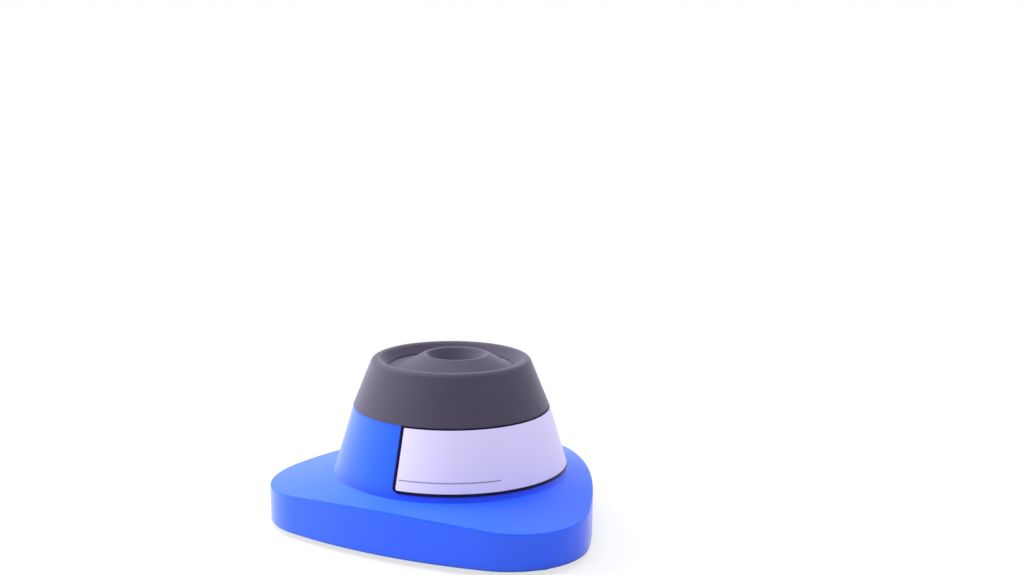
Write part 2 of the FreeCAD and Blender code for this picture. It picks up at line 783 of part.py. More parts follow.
# Front label, wrapped round the neck between the waist and the cover
def make_label():
    low = plinth_low + s.label_low
    high = shoulder - s.label_top_gap
    low_radius = shoulder_radius + (shoulder - low) * cone_taper + s.label_gap
    high_radius = shoulder_radius + (shoulder - high) * cone_taper + s.label_gap
    wrap = turned("label_wrap", [(low_radius, low), (low_radius + s.label_wall, low),
                                 (high_radius + s.label_wall, high), (high_radius, high)])
    half = sine(s.label_angle / 2)
    low_half = low_radius * half
    high_half = high_radius * half
    corner = s.label_corner
    corner_half = low_half - corner * cone_taper * half
    front = padded("label_front", [
        (corner - low_half, low), (low_half - corner, low, corner), (corner_half, low + corner),
        (high_half, high), (-high_half, high), (-corner_half, low + corner, corner)],
        as_size(0), s.waist_radius + s.past, "XZ_Plane")
    sub_part(common("label", wrap, front), "front_label")


# Soft cover ring with a round rim that slopes inwards to a short lip
def make_cover():
    rim_center = rim_high - s.rim_round
    ledge = collar_high + s.cover_fit
    bore = collar_radius + s.cover_fit
    inside_flange = cover_flange_radius - cover_wall_across
    ledge_radius = inside_flange + (flange_high - ledge) * tangent(s.cover_slope)
    lip_low = flange_high + s.lip_gap
    lip_run = 1 / tangent(s.rim_slope)
    lip_under = rim_inner + s.cover_wall / sine(s.rim_slope) - s.lip_straight * lip_run
    inside_rise = (inside_flange - s.lip_gap * tangent(s.cover_slope) - lip_under) / (
        tangent(s.cover_slope) + lip_run)
    edge_top = shoulder + s.cover_edge_round
    edge_radius = cover_low_radius - s.cover_edge_round * tangent(s.cover_slope)
    cover = turned("cover", [
        (bore, shoulder), (edge_radius - s.cover_edge_round, shoulder, s.cover_edge_round),
        (edge_radius, edge_top),
        (rim_radius + s.rim_round * cosine(s.cover_slope), rim_center + s.rim_round * sine(s.cover_slope),
         s.rim_round),
        (rim_radius, rim_high, s.rim_round),
        (rim_radius - s.rim_round * sine(s.rim_slope), rim_center + s.rim_round * cosine(s.rim_slope)),
        (rim_inner, lip_low + s.lip_straight), (rim_inner, lip_low), (lip_under, lip_low),
        (lip_under + inside_rise * lip_run, lip_low + inside_rise),
        (ledge_radius, ledge), (bore, ledge)])
    sub_part(cover, "top_cover")


# Cup head and its carrier, both turned about the eccentric pin
def make_cup():
    fillet_run = s.mound_fillet * tangent(s.mound_slope / 2)
    seat = carrier_rim + s.seat_fit
    seat_radius = s.plug_radius + s.plug_seat_width
    head = turned("cup", [
        (0, plug_low), (s.plug_radius, plug_low), (s.plug_radius, seat), (seat_radius, seat),
        (seat_radius + s.flange_wall, flange_low), (flange_radius, flange_low), (flange_radius, flange_high),
        (mound_foot + fillet_run, flange_high, -s.mound_fillet),
        (mound_foot - fillet_run * cosine(s.mound_slope), flange_high + fillet_run * sine(s.mound_slope)),
        (mound_top_radius, mound_top, s.cup_lip_round),
        (s.cup_lip_radius - s.cup_lip_round * cosine(s.well_slope),
         lip_center + s.cup_lip_round * sine(s.well_slope)),
        (s.well_floor_radius, well_low), (0, well_low)], s.orbit)
    sub_part(head, "cup_head")

    bore = s.bearing_radius + s.press_fit
    hub = bore + s.carrier_hub_wall
    hub_end = bearing_low - s.carrier_hub_drop
    ceiling = s.bearing_radius - s.race_wall
    dish = s.plug_radius + s.seat_fit
    carrier = turned("carrier", [
        (0, carrier_low), (ceiling, carrier_low), (ceiling, bearing_high), (bore, bearing_high),
        (bore, hub_end), (hub, hub_end), (hub, carrier_low), (dish + s.carrier_wall, carrier_low),
        (dish + s.carrier_wall, carrier_rim), (dish, carrier_rim), (dish, carrier_floor), (0, carrier_floor)],
        s.orbit)
    sub_part(carrier, "cup_carrier")


# Ball bearing between the eccentric pin and the carrier
def make_bearing():
    middle = (bearing_low + bearing_high) / 2
    circle = (s.bearing_bore_radius + s.bearing_radius) / 2
    track = doc.addObject("Part::Torus", "ball_track")
    bind(track, "Radius1", circle)
    bind(track, "Radius2", s.ball_radius + s.ball_clearance)
    place(track, s.orbit, 0, middle)
    inner_bore = s.bearing_bore_radius + s.press_fit
    inner = tube("inner_ring", inner_bore, s.bearing_bore_radius + s.race_wall,
                 bearing_low, bearing_high, s.orbit)
    outer = tube("outer_ring", s.bearing_radius - s.race_wall, s.bearing_radius,
                 bearing_low, bearing_high, s.orbit)
    sub_part(cut("inner_race", inner, [track]), "bearing_inner_race")
    sub_part(cut("outer_race", outer, [track]), "bearing_outer_race")
    balls = []
    pockets = []
    for number in range(BALLS):
        heading = (number + 0.5) * 360 / BALLS
        x, y = polar(circle, heading)
        balls.append(ball(f"ball_{number}", s.ball_radius, s.orbit + x, y, middle))
        x, y = polar(circle - s.cage_wall, heading)
        pockets.append(rod(f"pocket_{number}", s.ball_radius + s.ball_clearance,
                           (s.orbit + x, y, middle), s.cage_wall * 2, heading))
    sub_part(group("ball_set", balls), "bearing_balls")
    half_wall = s.cage_wall / 2
    half_height = s.cage_height / 2
    ring = tube("cage_ring", circle - half_wall, circle + half_wall,
                middle - half_height, middle + half_height, s.orbit)
    sub_part(cut("cage", ring, pockets), "bearing_cage")


# Eccentric hub with its counterweight, on the motor shaft
def make_hub():
    disc = cylinder("hub_disc", s.hub_radius, hub_low, hub_high)
    weight_disc = cylinder("weight_disc", s.counterweight_radius, hub_low, hub_high)
    reach = s.counterweight_radius + s.past
    weight_half = block("weight_half", (as_size(0), reach), (-reach, reach),
                        (hub_low - s.past, hub_high + s.past))
    weight = cut("weight", weight_disc, [weight_half])
    step = cylinder("hub_step", s.bearing_bore_radius + s.bearing_step_wall,
                    hub_high, bearing_low, s.orbit)
    pin = cylinder("hub_pin", s.bearing_bore_radius, bearing_low, pin_high, s.orbit)
    solid = fuse("hub_solid", [disc, weight, step, pin])
    bore = cylinder("hub_bore", s.shaft_radius + s.press_fit,
                    hub_low - s.past, pin_high - s.shaft_end_gap / 2)
    level = (hub_low + hub_high) / 2
    screw_start = s.shaft_radius + s.press_fit * 2
    screw_hole = rod("set_screw_hole", s.set_screw_radius + s.press_fit, (as_size(0), as_size(0), level),
                     s.hub_radius + s.past, 0)
    sub_part(cut("hub", solid, [bore, screw_hole]), "eccentric_hub")
    screw = rod("set_screw", s.set_screw_radius, (screw_start, as_size(0), level),
                s.hub_radius - screw_start, 0)
    sub_part(screw, "hub_set_screw")


# Motor: fixed field pieces first, then what turns on its shaft
def make_motor():
    cap_high = motor_low + s.end_cap_wall
    spigot_high = cap_high + s.end_cap_spigot
    inner = s.motor_radius - s.motor_wall
    rear_hole = s.rear_bush_radius + s.press_fit
    cap = fuse("cap_solid", [cylinder("cap_disc", s.motor_radius, motor_low, cap_high),
                             cylinder("cap_spigot", inner - s.seat_fit, cap_high, spigot_high)])
    cap_hole = cylinder("cap_hole", rear_hole, motor_low - s.past, spigot_high + s.past)
    sub_part(cut("cap", cap, [cap_hole]), "motor_end_cap")

    front_face = motor_high - s.motor_wall
    half_spacing = s.motor_screw_spacing / 2
    openings = [cylinder("can_room", inner, cap_high - s.past, front_face),
                cylinder("can_bush_hole", s.front_bush_radius + s.press_fit,
                         front_face - s.past, motor_high + s.past)]
    for name, x in (("left", -half_spacing), ("right", half_spacing)):
        openings.append(cylinder(f"can_screw_hole_{name}", s.motor_screw_radius + s.press_fit,
                                 front_face - s.past, motor_high + s.past, x))
    sub_part(cut("can", cylinder("can_outside", s.motor_radius, cap_high, motor_high), openings), "motor_can")

    bore = s.shaft_radius + s.running_fit
    boss_high = motor_high + s.front_boss_height
    front_bush = tube("front_bush", bore, s.front_bush_radius, boss_high - s.bush_depth, boss_high)
    sub_part(front_bush, "motor_front_bush")
    rear_low = motor_low - s.rear_boss_height
    rear_bush = tube("rear_bush", bore, s.rear_bush_radius, rear_low, rear_low + s.bush_depth)
    sub_part(rear_bush, "motor_rear_bush")

    field_middle = (spigot_high + front_face) / 2
    magnet_radius = inner - s.seat_fit
    magnet_inner = magnet_radius - s.magnet_wall
    half_magnet = s.magnet_length / 2
    ring = tube("magnet_ring", magnet_inner, magnet_radius,
                field_middle - half_magnet, field_middle + half_magnet)
    half_gap = s.magnet_spacing / 2
    gap = block("magnet_gap", (-half_gap, half_gap), (-s.motor_radius, s.motor_radius),
                (motor_low, motor_high))
    sub_part(cut("magnets", ring, [gap]), "motor_magnets")

    commutator_low = rear_low + s.bush_depth + s.lead_gap
    brush_start = s.commutator_radius + s.ball_clearance
    half_brush = s.brush_width / 2
    brush_levels = (spigot_high, spigot_high + s.brush_height)
    brush_end = brush_start + s.brush_length
    brushes = [
        block("brush_right", (brush_start, brush_end), (-half_brush, half_brush), brush_levels),
        block("brush_left", (-brush_end, -brush_start), (-half_brush, half_brush), brush_levels)]
    sub_part(group("brushes", brushes), "motor_brushes")

    half_tab = s.terminal_width / 2
    half_wall = s.terminal_wall / 2
    tabs = []
    for name, x in (("left", -s.terminal_reach), ("right", s.terminal_reach)):
        tabs.append(block(f"terminal_{name}", (x - half_tab, x + half_tab), (-half_wall, half_wall),
                          (motor_low - s.terminal_length, motor_low)))
    sub_part(group("terminals", tabs), "motor_terminals")

    core_radius = magnet_inner - s.air_gap
    half_core = s.core_length / 2
    core_low = field_middle - half_core
    core_high = field_middle + half_core
    grip = s.shaft_radius + s.press_fit
    slots = [cylinder("core_bore", grip, core_low - s.past, core_high + s.past)]
    windings = []
    for angle in WINDINGS:
        x, y = polar(s.slot_circle, angle)
        slots.append(cylinder(f"slot_{angle}", s.slot_radius,
                              core_low - s.past, core_high + s.past, x, y))
        mouth = doc.addObject("Part::Box", f"slot_mouth_{angle}")
        bind(mouth, "Length", core_radius)
        bind(mouth, "Width", s.slot_mouth)
        bind(mouth, "Height", s.core_length + s.past * 2)
        turn = FreeCAD.Rotation(FreeCAD.Vector(0, 0, 1), angle)
        mouth.Placement = FreeCAD.Placement(FreeCAD.Vector(), turn)
        side_x, side_y = polar(s.slot_mouth / 2, angle - 90)
        place(mouth, x + side_x, y + side_y, core_low - s.past)
        slots.append(mouth)
        windings.append(cylinder(f"winding_{angle}", s.winding_radius, core_low - s.winding_overhang,
                                 core_high + s.winding_overhang, x, y))
    sub_part(cut("core", cylinder("core_disc", core_radius, core_low, core_high), slots), "armature_core")
    sub_part(group("windings", windings), "armature_windings")
    sub_part(tube("commutator_ring", grip, s.commutator_radius, commutator_low,
                  commutator_low + s.commutator_length), "motor_commutator")
    sub_part(cylinder("shaft", s.shaft_radius, rear_low, pin_high - s.shaft_end_gap), "motor_shaft")


# Sprung bracket: the plate that carries the motor, its guides, springs and screws
def make_bracket():
    plate = cylinder("bracket", s.post_circle + s.bracket_margin, motor_high, bracket_high)
    bush_radius = s.guide_radius + s.guide_fit + s.bush_wall
    below = motor_high - s.past
    above = bracket_high + s.past
    holes = [cylinder("bracket_boss_hole", s.front_bush_radius + s.boss_fit, below, above)]
    bushes = []
    guides = []
    bush_high = bracket_high + s.bush_flange_wall
    for corner, angle in CORNERS.items():
        x, y = polar(s.post_circle, angle)
        holes.append(cylinder(f"bracket_hole_{corner}", bush_radius + s.press_fit, below, above, x, y))
        sleeve = cylinder(f"bush_sleeve_{corner}", bush_radius, motor_high, bracket_high, x, y)
        flange = cylinder(f"bush_flange_{corner}", s.bush_flange_radius, bracket_high, bush_high, x, y)
        bore = cylinder(f"bush_bore_{corner}", s.guide_radius + s.guide_fit,
                        below, bush_high + s.past, x, y)
        bushes.append(cut(f"bush_{corner}", fuse(f"bush_solid_{corner}", [sleeve, flange]), [bore]))
        head_low = bush_high + s.guide_fit
        head_high = head_low + s.guide_head_height
        thread_low = post_high - s.guide_thread_length
        guide = fuse(f"guide_solid_{corner}", [
            cylinder(f"guide_thread_{corner}", s.guide_thread_radius, thread_low, post_high, x, y),
            cylinder(f"guide_shank_{corner}", s.guide_radius, post_high, head_low, x, y),
            cylinder(f"guide_head_{corner}", s.guide_head_radius, head_low, head_high, x, y)])
        socket = cylinder(f"guide_socket_{corner}", s.guide_socket_radius, head_high - s.guide_socket_depth,
                          head_high + s.past, x, y)
        guides.append(cut(f"guide_{corner}", guide, [socket]))
    half_spacing = s.motor_screw_spacing / 2
    screws = []
    for name, x in (("left", -half_spacing), ("right", half_spacing)):
        holes.append(cylinder(f"bracket_screw_hole_{name}", s.motor_screw_radius + s.press_fit,
                              below, above, x))
        screws.append(fuse(f"motor_screw_{name}", [
            cylinder(f"motor_screw_shank_{name}", s.motor_screw_radius, motor_high - s.motor_screw_depth,
                     bracket_high, x),
            cylinder(f"motor_screw_head_{name}", s.motor_screw_head, bracket_high,
                     bracket_high + s.motor_screw_head_height, x)]))
    sub_part(cut("bracket_plate", plate, holes), "motor_bracket")
    sub_part(group("bush_set", bushes), "guide_bushes")
    sub_part(group("guide_set", guides), "guide_screws")
    sub_part(group("motor_screw_set", screws), "motor_screws")


def biarc(start, start_way, end, end_way):
    """Two arcs that leave the start and reach the end along the given directions."""
    gap = end - start
    turn = start_way.dot(end_way) - 1
    across = gap.dot(start_way + end_way)
    reach = (across - math.sqrt(across ** 2 - 2 * turn * gap.Length ** 2)) / (2 * turn)
    middle = (start + end + (start_way - end_way) * reach) / 2
    return [arc_along(start, start_way, middle), arc_along(end, end_way * -1, middle)]


def arc_along(start, way, end):
    """The arc from a point, leaving along a direction, to an end point."""
    chord = end - start
    normal = way.cross(chord).cross(way).normalize()
    radius = chord.Length ** 2 / (2 * chord.dot(normal))
    center = start + normal * radius
    half_way = ((start - center).normalize() + (end - center).normalize()).normalize()
    return Part.Arc(start, center + half_way * radius, end).toShape()


def pipe(edges, radius):
    """A round solid along a chain of edges."""
    spine = Part.Wire(Part.__sortEdges__(edges))
    start = spine.OrderedVertexes[0].Point
    first = spine.OrderedEdges[0]
    way = first.tangentAt(first.FirstParameter)
    section = Part.Wire(Part.makeCircle(radius, start, way))
    shell = Part.BRepOffsetAPI.MakePipeShell(spine)
    shell.add(section)
    shell.build()
    shell.makeSolid()
    return shell.shape()


def make_springs():
    height = s.spring_length.value - 2 * (s.spring_gap.value + s.spring_wire.value)
    quarters = round(s.spring_turns.value * 4)
    radius = s.spring_radius.value
    rise = height / (quarters * math.pi / 2)
    low = post_high.value + s.spring_gap.value + s.spring_wire.value

    def point(turn):
        return FreeCAD.Vector(radius * math.cos(turn), radius * math.sin(turn), low + rise * turn)

    def way(turn):
        return FreeCAD.Vector(-radius * math.sin(turn), radius * math.cos(turn), rise).normalize()

    edges = []
    for quarter in range(quarters):
        start = quarter * math.pi / 2
        end = start + math.pi / 2
        edges += biarc(point(start), way(start), point(end), way(end))
    coil = pipe(edges, s.spring_wire.value)
    pitch = rise * 2 * math.pi
    least = min((point(turn / 50) - point(turn / 50 + 2 * math.pi + lag / 50)).Length
                for turn in range(50) for lag in range(-25, 26))
    print(f"spring pitch {pitch:.2f} mm, least gap to itself {least - 2 * s.spring_wire.value:.2f} mm")
    for corner, angle in CORNERS.items():
        x, y = polar(s.post_circle, angle)
        spring = doc.addObject("Part::Feature", f"spring_{corner}")
        spring.Shape = coil
        spot = FreeCAD.Vector(x.value, axis_y.value + y.value, 0)
        spring.Placement = FreeCAD.Placement(spot, FreeCAD.Rotation())
        sub_part(spring, f"press_spring_{corner}")


# Switch that the bracket presses, screwed to the tower on the bottom plate
def make_switch():
    half_length = s.switch_length / 2
    back = s.switch_reach + s.switch_wall / 2
    solid = block("switch", (-half_length, half_length), (tower_face, back), (switch_low, switch_high))
    plunger_low = switch_high - s.plunger_depth
    room_low = plunger_low - s.press_travel - s.plunger_fit
    room = [cylinder("switch_room", s.plunger_radius + s.plunger_fit,
                     room_low, switch_high + s.past, 0, s.switch_reach)]
    half_spacing = s.switch_screw_spacing / 2
    screws = []
    screw_start = tower_face - s.switch_screw_bite
    for name, x in (("left", -half_spacing), ("right", half_spacing)):
        room.append(rod(f"switch_hole_{name}", s.switch_screw_radius + s.plunger_fit,
                        (x, tower_face - s.past, switch_screw_level),
                        s.switch_wall + s.past * 2, 90))
        shank = rod(f"switch_screw_shank_{name}", s.switch_screw_radius, (x, screw_start, switch_screw_level),
                    back - screw_start, 90)
        head = rod(f"switch_screw_head_{name}", s.switch_screw_head, (x, back, switch_screw_level),
                   s.switch_screw_head_height, 90)
        screws.append(fuse(f"switch_screw_{name}", [shank, head]))
    sub_part(cut("switch_hollow", solid, room), "switch_body")
    sub_part(group("switch_screw_set", screws), "switch_screws")
    plunger = cylinder("plunger", s.plunger_radius,
                       plunger_low, motor_high - s.plunger_gap, 0, s.switch_reach)
    sub_part(plunger, "switch_plunger")
    tags = []
    half_tag = s.tag_width / 2
    half_wall = s.tag_wall / 2
    for name, x in (("left", -s.tag_spacing), ("middle", as_size(0)), ("right", s.tag_spacing)):
        tags.append(block(f"switch_tag_{name}", (x - half_tag, x + half_tag),
                          (s.switch_reach - half_wall, s.switch_reach + half_wall),
                          (switch_low - s.tag_length, switch_low)))
    sub_part(group("switch_tags", tags), "switch_terminals")


def lead(label, points):
    """An insulated lead along a hand-picked route, its corners turned as wide as the runs allow."""
    share = 0.45
    points = [FreeCAD.Vector(*point) for point in points]
    edges = []
    radii = []
    at = points[0]
    for before, corner, after in zip(points, points[1:], points[2:]):
        run_in = (corner - before).Length
        run_out = (after - corner).Length
        trim = share * min(run_in, run_out)
        arc_start = corner + (before - corner) * (trim / run_in)
        arc_end = corner + (after - corner) * (trim / run_out)
        bend = arc_along(arc_start, (corner - before).normalize(), arc_end)
        radii.append(bend.Curve.Radius)
        edges += [Part.LineSegment(at, arc_start).toShape(), bend]
        at = arc_end
    edges.append(Part.LineSegment(at, points[-1]).toShape())
    shape = pipe(edges, s.lead_radius.value)
    length = sum(edge.Length for edge in edges)
    share_of_volume = shape.Volume / (length * math.pi * s.lead_radius.value ** 2)
    print(f"{label}: {length:.1f} mm long, tightest bend {min(radii):.1f} mm,"
          f" volume {share_of_volume:.3f} of its tube")
    thing = doc.addObject("Part::Feature", label + "_route")
    thing.Shape = shape
    thing.Placement = FreeCAD.Placement(FreeCAD.Vector(0, axis_y.value, 0), FreeCAD.Rotation())
    sub_part(thing, label)


# Leads between the inlet, the switch and the motor's terminals
def make_leads():
    seat = s.seat_fit.value
    tag_back = s.switch_reach.value + s.tag_wall.value / 2 + seat
    tag_level = switch_low.value - s.tag_length.value / 2
    tag_x = s.tag_spacing.value
    jack_back = jack_end.value - s.jack_tag_length.value - seat
    span = jack_back - tag_back
    upper = jack_level.value + s.jack_tag_offset.value
    lower = jack_level.value - s.jack_tag_offset.value
    inside_ballast = s.ballast_inner.value - 9
    beside_tower = s.switch_length.value / 2 + 2.6
    terminal_x = s.terminal_reach.value
    terminal_y = s.terminal_wall.value / 2 + s.lead_gap.value
    terminal_level = motor_low.value - s.terminal_length.value
    lead("lead_jack_to_switch", [
        (0, jack_back, upper), (0, tag_back + 0.65 * span, upper),
        (-4.5, tag_back + 0.5 * span, upper + 2.9), (-tag_x, tag_back + 0.48 * span, tag_level - 6),
        (-tag_x, tag_back + 0.45 * span, tag_level), (-tag_x, tag_back, tag_level)])
    lead("lead_switch_to_motor", [
        (tag_x, tag_back, tag_level), (tag_x, tag_back + 6.8, tag_level),
        (tag_x + 2.5, tag_back + 6, tag_level - 7), (beside_tower + 1.5, tag_back, terminal_level + 4),
        (beside_tower, tag_back - 9, terminal_level),
        (terminal_x + 1, 6, terminal_level), (terminal_x, terminal_y, terminal_level + 0.2)])
    lead("lead_jack_to_motor", [
        (0, jack_back, lower), (0, tag_back + 0.65 * span, lower),
        (-4.5, tag_back + 0.4 * span, lower - 1), (-beside_tower, inside_ballast, terminal_level + 0.1),
        (-beside_tower, tag_back - 9, terminal_level),
        (-terminal_x - 1, 6, terminal_level), (-terminal_x, terminal_y, terminal_level + 0.2)])


make_housing()
make_jack()
make_bottom_plate()
make_base_fixings()
make_label()
make_cover()
make_cup()
make_bearing()
make_hub()
make_motor()
make_bracket()
make_springs()
make_switch()
make_leads()
doc.recompute()

for thing in doc.Objects:
    if "Invalid" in thing.State or "Error" in thing.State:
        raise RuntimeError(f"{thing.Label} failed: {thing.State}")
for thing in sub_parts:
    shape = thing.Shape
    if shape.isNull() or not shape.isValid() or shape.Volume <= 0:
        raise RuntimeError(f"{thing.Label} has no valid solid")

os.makedirs("parts", exist_ok=True)
for thing in sub_parts:
    thing.Shape.exportStep(f"parts/{thing.Label}.step")
print(len(sub_parts), "pieces written")
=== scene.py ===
"""Dresses the vortex mixer: moulded, soft, printed and metal finishes, springs, feet and a studio."""

import json
import math

import bpy
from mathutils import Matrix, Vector


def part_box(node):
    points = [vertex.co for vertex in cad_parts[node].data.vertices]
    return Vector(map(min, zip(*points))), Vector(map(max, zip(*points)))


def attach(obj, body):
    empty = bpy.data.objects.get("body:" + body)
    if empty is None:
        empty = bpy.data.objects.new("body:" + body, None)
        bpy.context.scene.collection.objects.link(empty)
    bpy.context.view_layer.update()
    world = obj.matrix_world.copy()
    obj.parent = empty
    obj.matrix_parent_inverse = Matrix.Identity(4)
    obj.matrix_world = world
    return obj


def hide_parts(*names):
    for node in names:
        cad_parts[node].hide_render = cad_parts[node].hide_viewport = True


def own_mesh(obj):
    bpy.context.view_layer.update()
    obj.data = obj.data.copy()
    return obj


bl_info = {
    "name": "Vortex Mixer Dressing",
    "version": (1, 0, 0),
    "blender": (4, 5, 0),
    "location": "View3D > Sidebar > Mixer",
    "description": "Finishes, soft pieces and studio for a touch-run vortex mixer",
    "category": "Object",
}

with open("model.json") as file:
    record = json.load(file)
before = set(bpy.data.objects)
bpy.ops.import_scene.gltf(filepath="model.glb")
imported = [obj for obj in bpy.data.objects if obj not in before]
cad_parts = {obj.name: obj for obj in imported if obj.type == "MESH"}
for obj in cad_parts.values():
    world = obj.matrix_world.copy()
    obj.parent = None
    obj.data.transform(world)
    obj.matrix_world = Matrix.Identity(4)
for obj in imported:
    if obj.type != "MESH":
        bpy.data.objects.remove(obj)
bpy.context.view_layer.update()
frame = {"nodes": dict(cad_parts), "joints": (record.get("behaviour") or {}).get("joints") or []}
nodes = frame["nodes"]

# Places that the finishes and pieces are laid out from, in metres, read off the solids
COVER_LOW, COVER_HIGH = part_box("top_cover")
AXIS_Y = (COVER_LOW.y + COVER_HIGH.y) / 2
LABEL_LOW, LABEL_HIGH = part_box("front_label")
SHELL_LOW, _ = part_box("housing_shell")

# How finely the springs and the feet are divided
WIRE_SIDES = 12
STEPS_PER_TURN = 28
FOOT_SIDES = 72

# A face is level when its normal is at least this upright
LEVEL = 0.9

# Steps from the rim of a foot's sole to its middle, in metres: how far inwards, and how far out of the sole
SOLE_STEPS = ((0.0006, 0), (0.0012, 0), (0.0005, -0.0005), (0.0018, 0), (0.0008, -0.0003))

# The floor's width and its drop below the feet, and what the lamps face, in metres
FLOOR_SIZE = 12
FLOOR_DROP = 0.0001
LAMP_AIM = Vector((0, AXIS_Y, 0.03))

# Each lamp's name, place, width and colour. Its power is the studio setting of that name
WHITE = (1.0, 1.0, 1.0)
LAMPS = (
    ("top", (0, AXIS_Y, 1.03), 0.7, WHITE),
    ("key", (-0.694, 0.59, 0.453), 0.7, WHITE),
    ("back", (-0.242, 0.67, 0.737), 0.7, WHITE),
    ("fill", (0.93, -0.25, 0.35), 0.6, (0.80, 0.77, 1.0)),
)


class ShellSettings(bpy.types.PropertyGroup):
    colour: bpy.props.FloatVectorProperty(
        name="Blue", description="Colour of the moulded shell", subtype="COLOR", size=3,
        default=(0.009, 0.108, 0.97), min=0, max=1)
    grain: bpy.props.FloatProperty(
        name="Grain", description="Width of one grain of the mould's texture", default=0.00035, unit="LENGTH")
    roughness: bpy.props.FloatProperty(
        name="Roughness", description="Average roughness of the shell", default=0.42, subtype="FACTOR",
        min=0, max=1)
    waist: bpy.props.FloatProperty(
        name="Waist", description="Height of the neck's foot above the shell's lower edge", default=0.0186,
        unit="LENGTH")
    # Painted shade: the darker band at the neck's foot stands in for the shade in the crease
    crease_shade: bpy.props.FloatProperty(
        name="Crease", description="Height of the darker band at the neck's foot", default=0.005,
        unit="LENGTH")
    # Painted shade: the darker band along the lower edge stands in for the shade where the shell meets the
    # floor
    edge: bpy.props.FloatProperty(
        name="Edge", description="Height of the darker band along the lower edge", default=0.0011,
        unit="LENGTH")
    rub: bpy.props.FloatProperty(
        name="Rub", description="Height up to which the wall is rubbed", default=0.006, unit="LENGTH")


class SoftSettings(bpy.types.PropertyGroup):
    colour: bpy.props.FloatVectorProperty(
        name="Grey", description="Colour of the soft cover and cup", subtype="COLOR", size=3,
        default=(0.074, 0.066, 0.098), min=0, max=1)
    parting: bpy.props.FloatProperty(
        name="Parting line", description="Height of the cover's mould line above its lower edge",
        default=0.0112, unit="LENGTH")
    roughness: bpy.props.FloatProperty(
        name="Roughness", description="Average roughness of the soft pieces", default=0.58, subtype="FACTOR",
        min=0, max=1)


class LabelSettings(bpy.types.PropertyGroup):
    film: bpy.props.FloatVectorProperty(
        name="Film", description="Colour of the printed film", subtype="COLOR", size=3,
        default=(0.77, 0.72, 1.0), min=0, max=1)
    border: bpy.props.FloatVectorProperty(
        name="Border", description="Colour of the printed border", subtype="COLOR", size=3,
        default=(0.004, 0.003, 0.035), min=0, max=1)
    end_border: bpy.props.FloatProperty(
        name="End border", description="Width of the border at the label's two ends", default=0.0015,
        unit="LENGTH")
    low_border: bpy.props.FloatProperty(
        name="Low border", description="Width of the border along the label's lower edge", default=0.0011,
        unit="LENGTH")
    top_border: bpy.props.FloatProperty(
        name="Top border", description="Width of the border that shows under the cover", default=0.0005,
        unit="LENGTH")
    corner: bpy.props.FloatProperty(
        name="Corner", description="Rounding of the border's inner corners", default=0.0009, unit="LENGTH")
    half_angle: bpy.props.FloatProperty(
        name="Half wrap", description="Angle from the front to the label's end", default=math.radians(60),
        subtype="ANGLE")
    rule: bpy.props.FloatVectorProperty(
        name="Rule", description="Colour of the printed rule line", subtype="COLOR", size=3,
        default=(0.16, 0.15, 0.22), min=0, max=1)
    rule_level: bpy.props.FloatProperty(
        name="Rule level", description="Height of the printed rule line above the label's lower edge",
        default=0.00475, unit="LENGTH")
    rule_width: bpy.props.FloatProperty(
        name="Rule width", description="Width of the printed rule line", default=0.00046, unit="LENGTH")
    rule_start: bpy.props.FloatProperty(
        name="Rule start", description="Angle from the front to the rule line's left end",
        default=math.radians(-57), subtype="ANGLE")
    rule_end: bpy.props.FloatProperty(
        name="Rule end", description="Angle from the front to the rule line's right end",
        default=math.radians(-6.3), subtype="ANGLE")


class SpringSettings(bpy.types.PropertyGroup):
    wire: bpy.props.FloatProperty(
        name="Wire", description="Radius of the spring wire", default=0.0004, unit="LENGTH")
    turns: bpy.props.FloatProperty(name="Turns", description="Turns of each press spring", default=5.5)


class FootSettings(bpy.types.PropertyGroup):
    colour: bpy.props.FloatVectorProperty(
        name="Rubber", description="Colour of the feet", subtype="COLOR", size=3,
        default=(0.016, 0.016, 0.019), min=0, max=1)
    recess: bpy.props.FloatProperty(
        name="Recess", description="Depth to which a pad reaches into the base", default=0.0008,
        unit="LENGTH")
    stem: bpy.props.FloatProperty(
        name="Stem", description="Radius of a foot's stem", default=0.0024, unit="LENGTH")
    bulb: bpy.props.FloatProperty(
        name="Bulb", description="Radius of the bulb that snaps in above the stem", default=0.0032,
        unit="LENGTH")
    bulb_height: bpy.props.FloatProperty(
        name="Bulb height", description="Height of the bulb", default=0.001, unit="LENGTH")
    bulb_top: bpy.props.FloatProperty(
        name="Bulb top", description="Width of the bulb's top as a share of its widest", default=0.7,
        subtype="FACTOR", min=0, max=1)
    rounding: bpy.props.FloatProperty(
        name="Rounding", description="Rounding of a foot's edges", default=0.00035, unit="LENGTH")


class StudioSettings(bpy.types.PropertyGroup):
    floor: bpy.props.FloatVectorProperty(
        name="Floor", description="Colour of the floor", subtype="COLOR", size=3, default=(0.80, 0.80, 0.81),
        min=0, max=1)
    near_white: bpy.props.FloatProperty(
        name="Near white", description="Share of plain white in the floor close to the mixer", default=0.72,
        subtype="FACTOR", min=0, max=1)
    shadow_reach: bpy.props.FloatProperty(
        name="Shadow reach", description="Distance at which the floor has turned plain white", default=0.30,
        unit="LENGTH")
    ambient: bpy.props.FloatProperty(
        name="Ambient", description="Strength of the room's own light", default=0.33)
    ambient_tint: bpy.props.FloatVectorProperty(
        name="Ambient tint", description="Colour of the room's own light", subtype="COLOR", size=3,
        default=(0.85, 0.82, 1.0), min=0, max=1)
    top: bpy.props.FloatProperty(
        name="Top", description="Power of the overhead lamp", default=9.0, unit="POWER")
    key: bpy.props.FloatProperty(
        name="Key", description="Power of the main lamp", default=7.5, unit="POWER")
    back: bpy.props.FloatProperty(
        name="Back", description="Power of the rear lamp", default=8.0, unit="POWER")
    fill: bpy.props.FloatProperty(
        name="Fill", description="Power of the side lamp", default=1.0, unit="POWER")


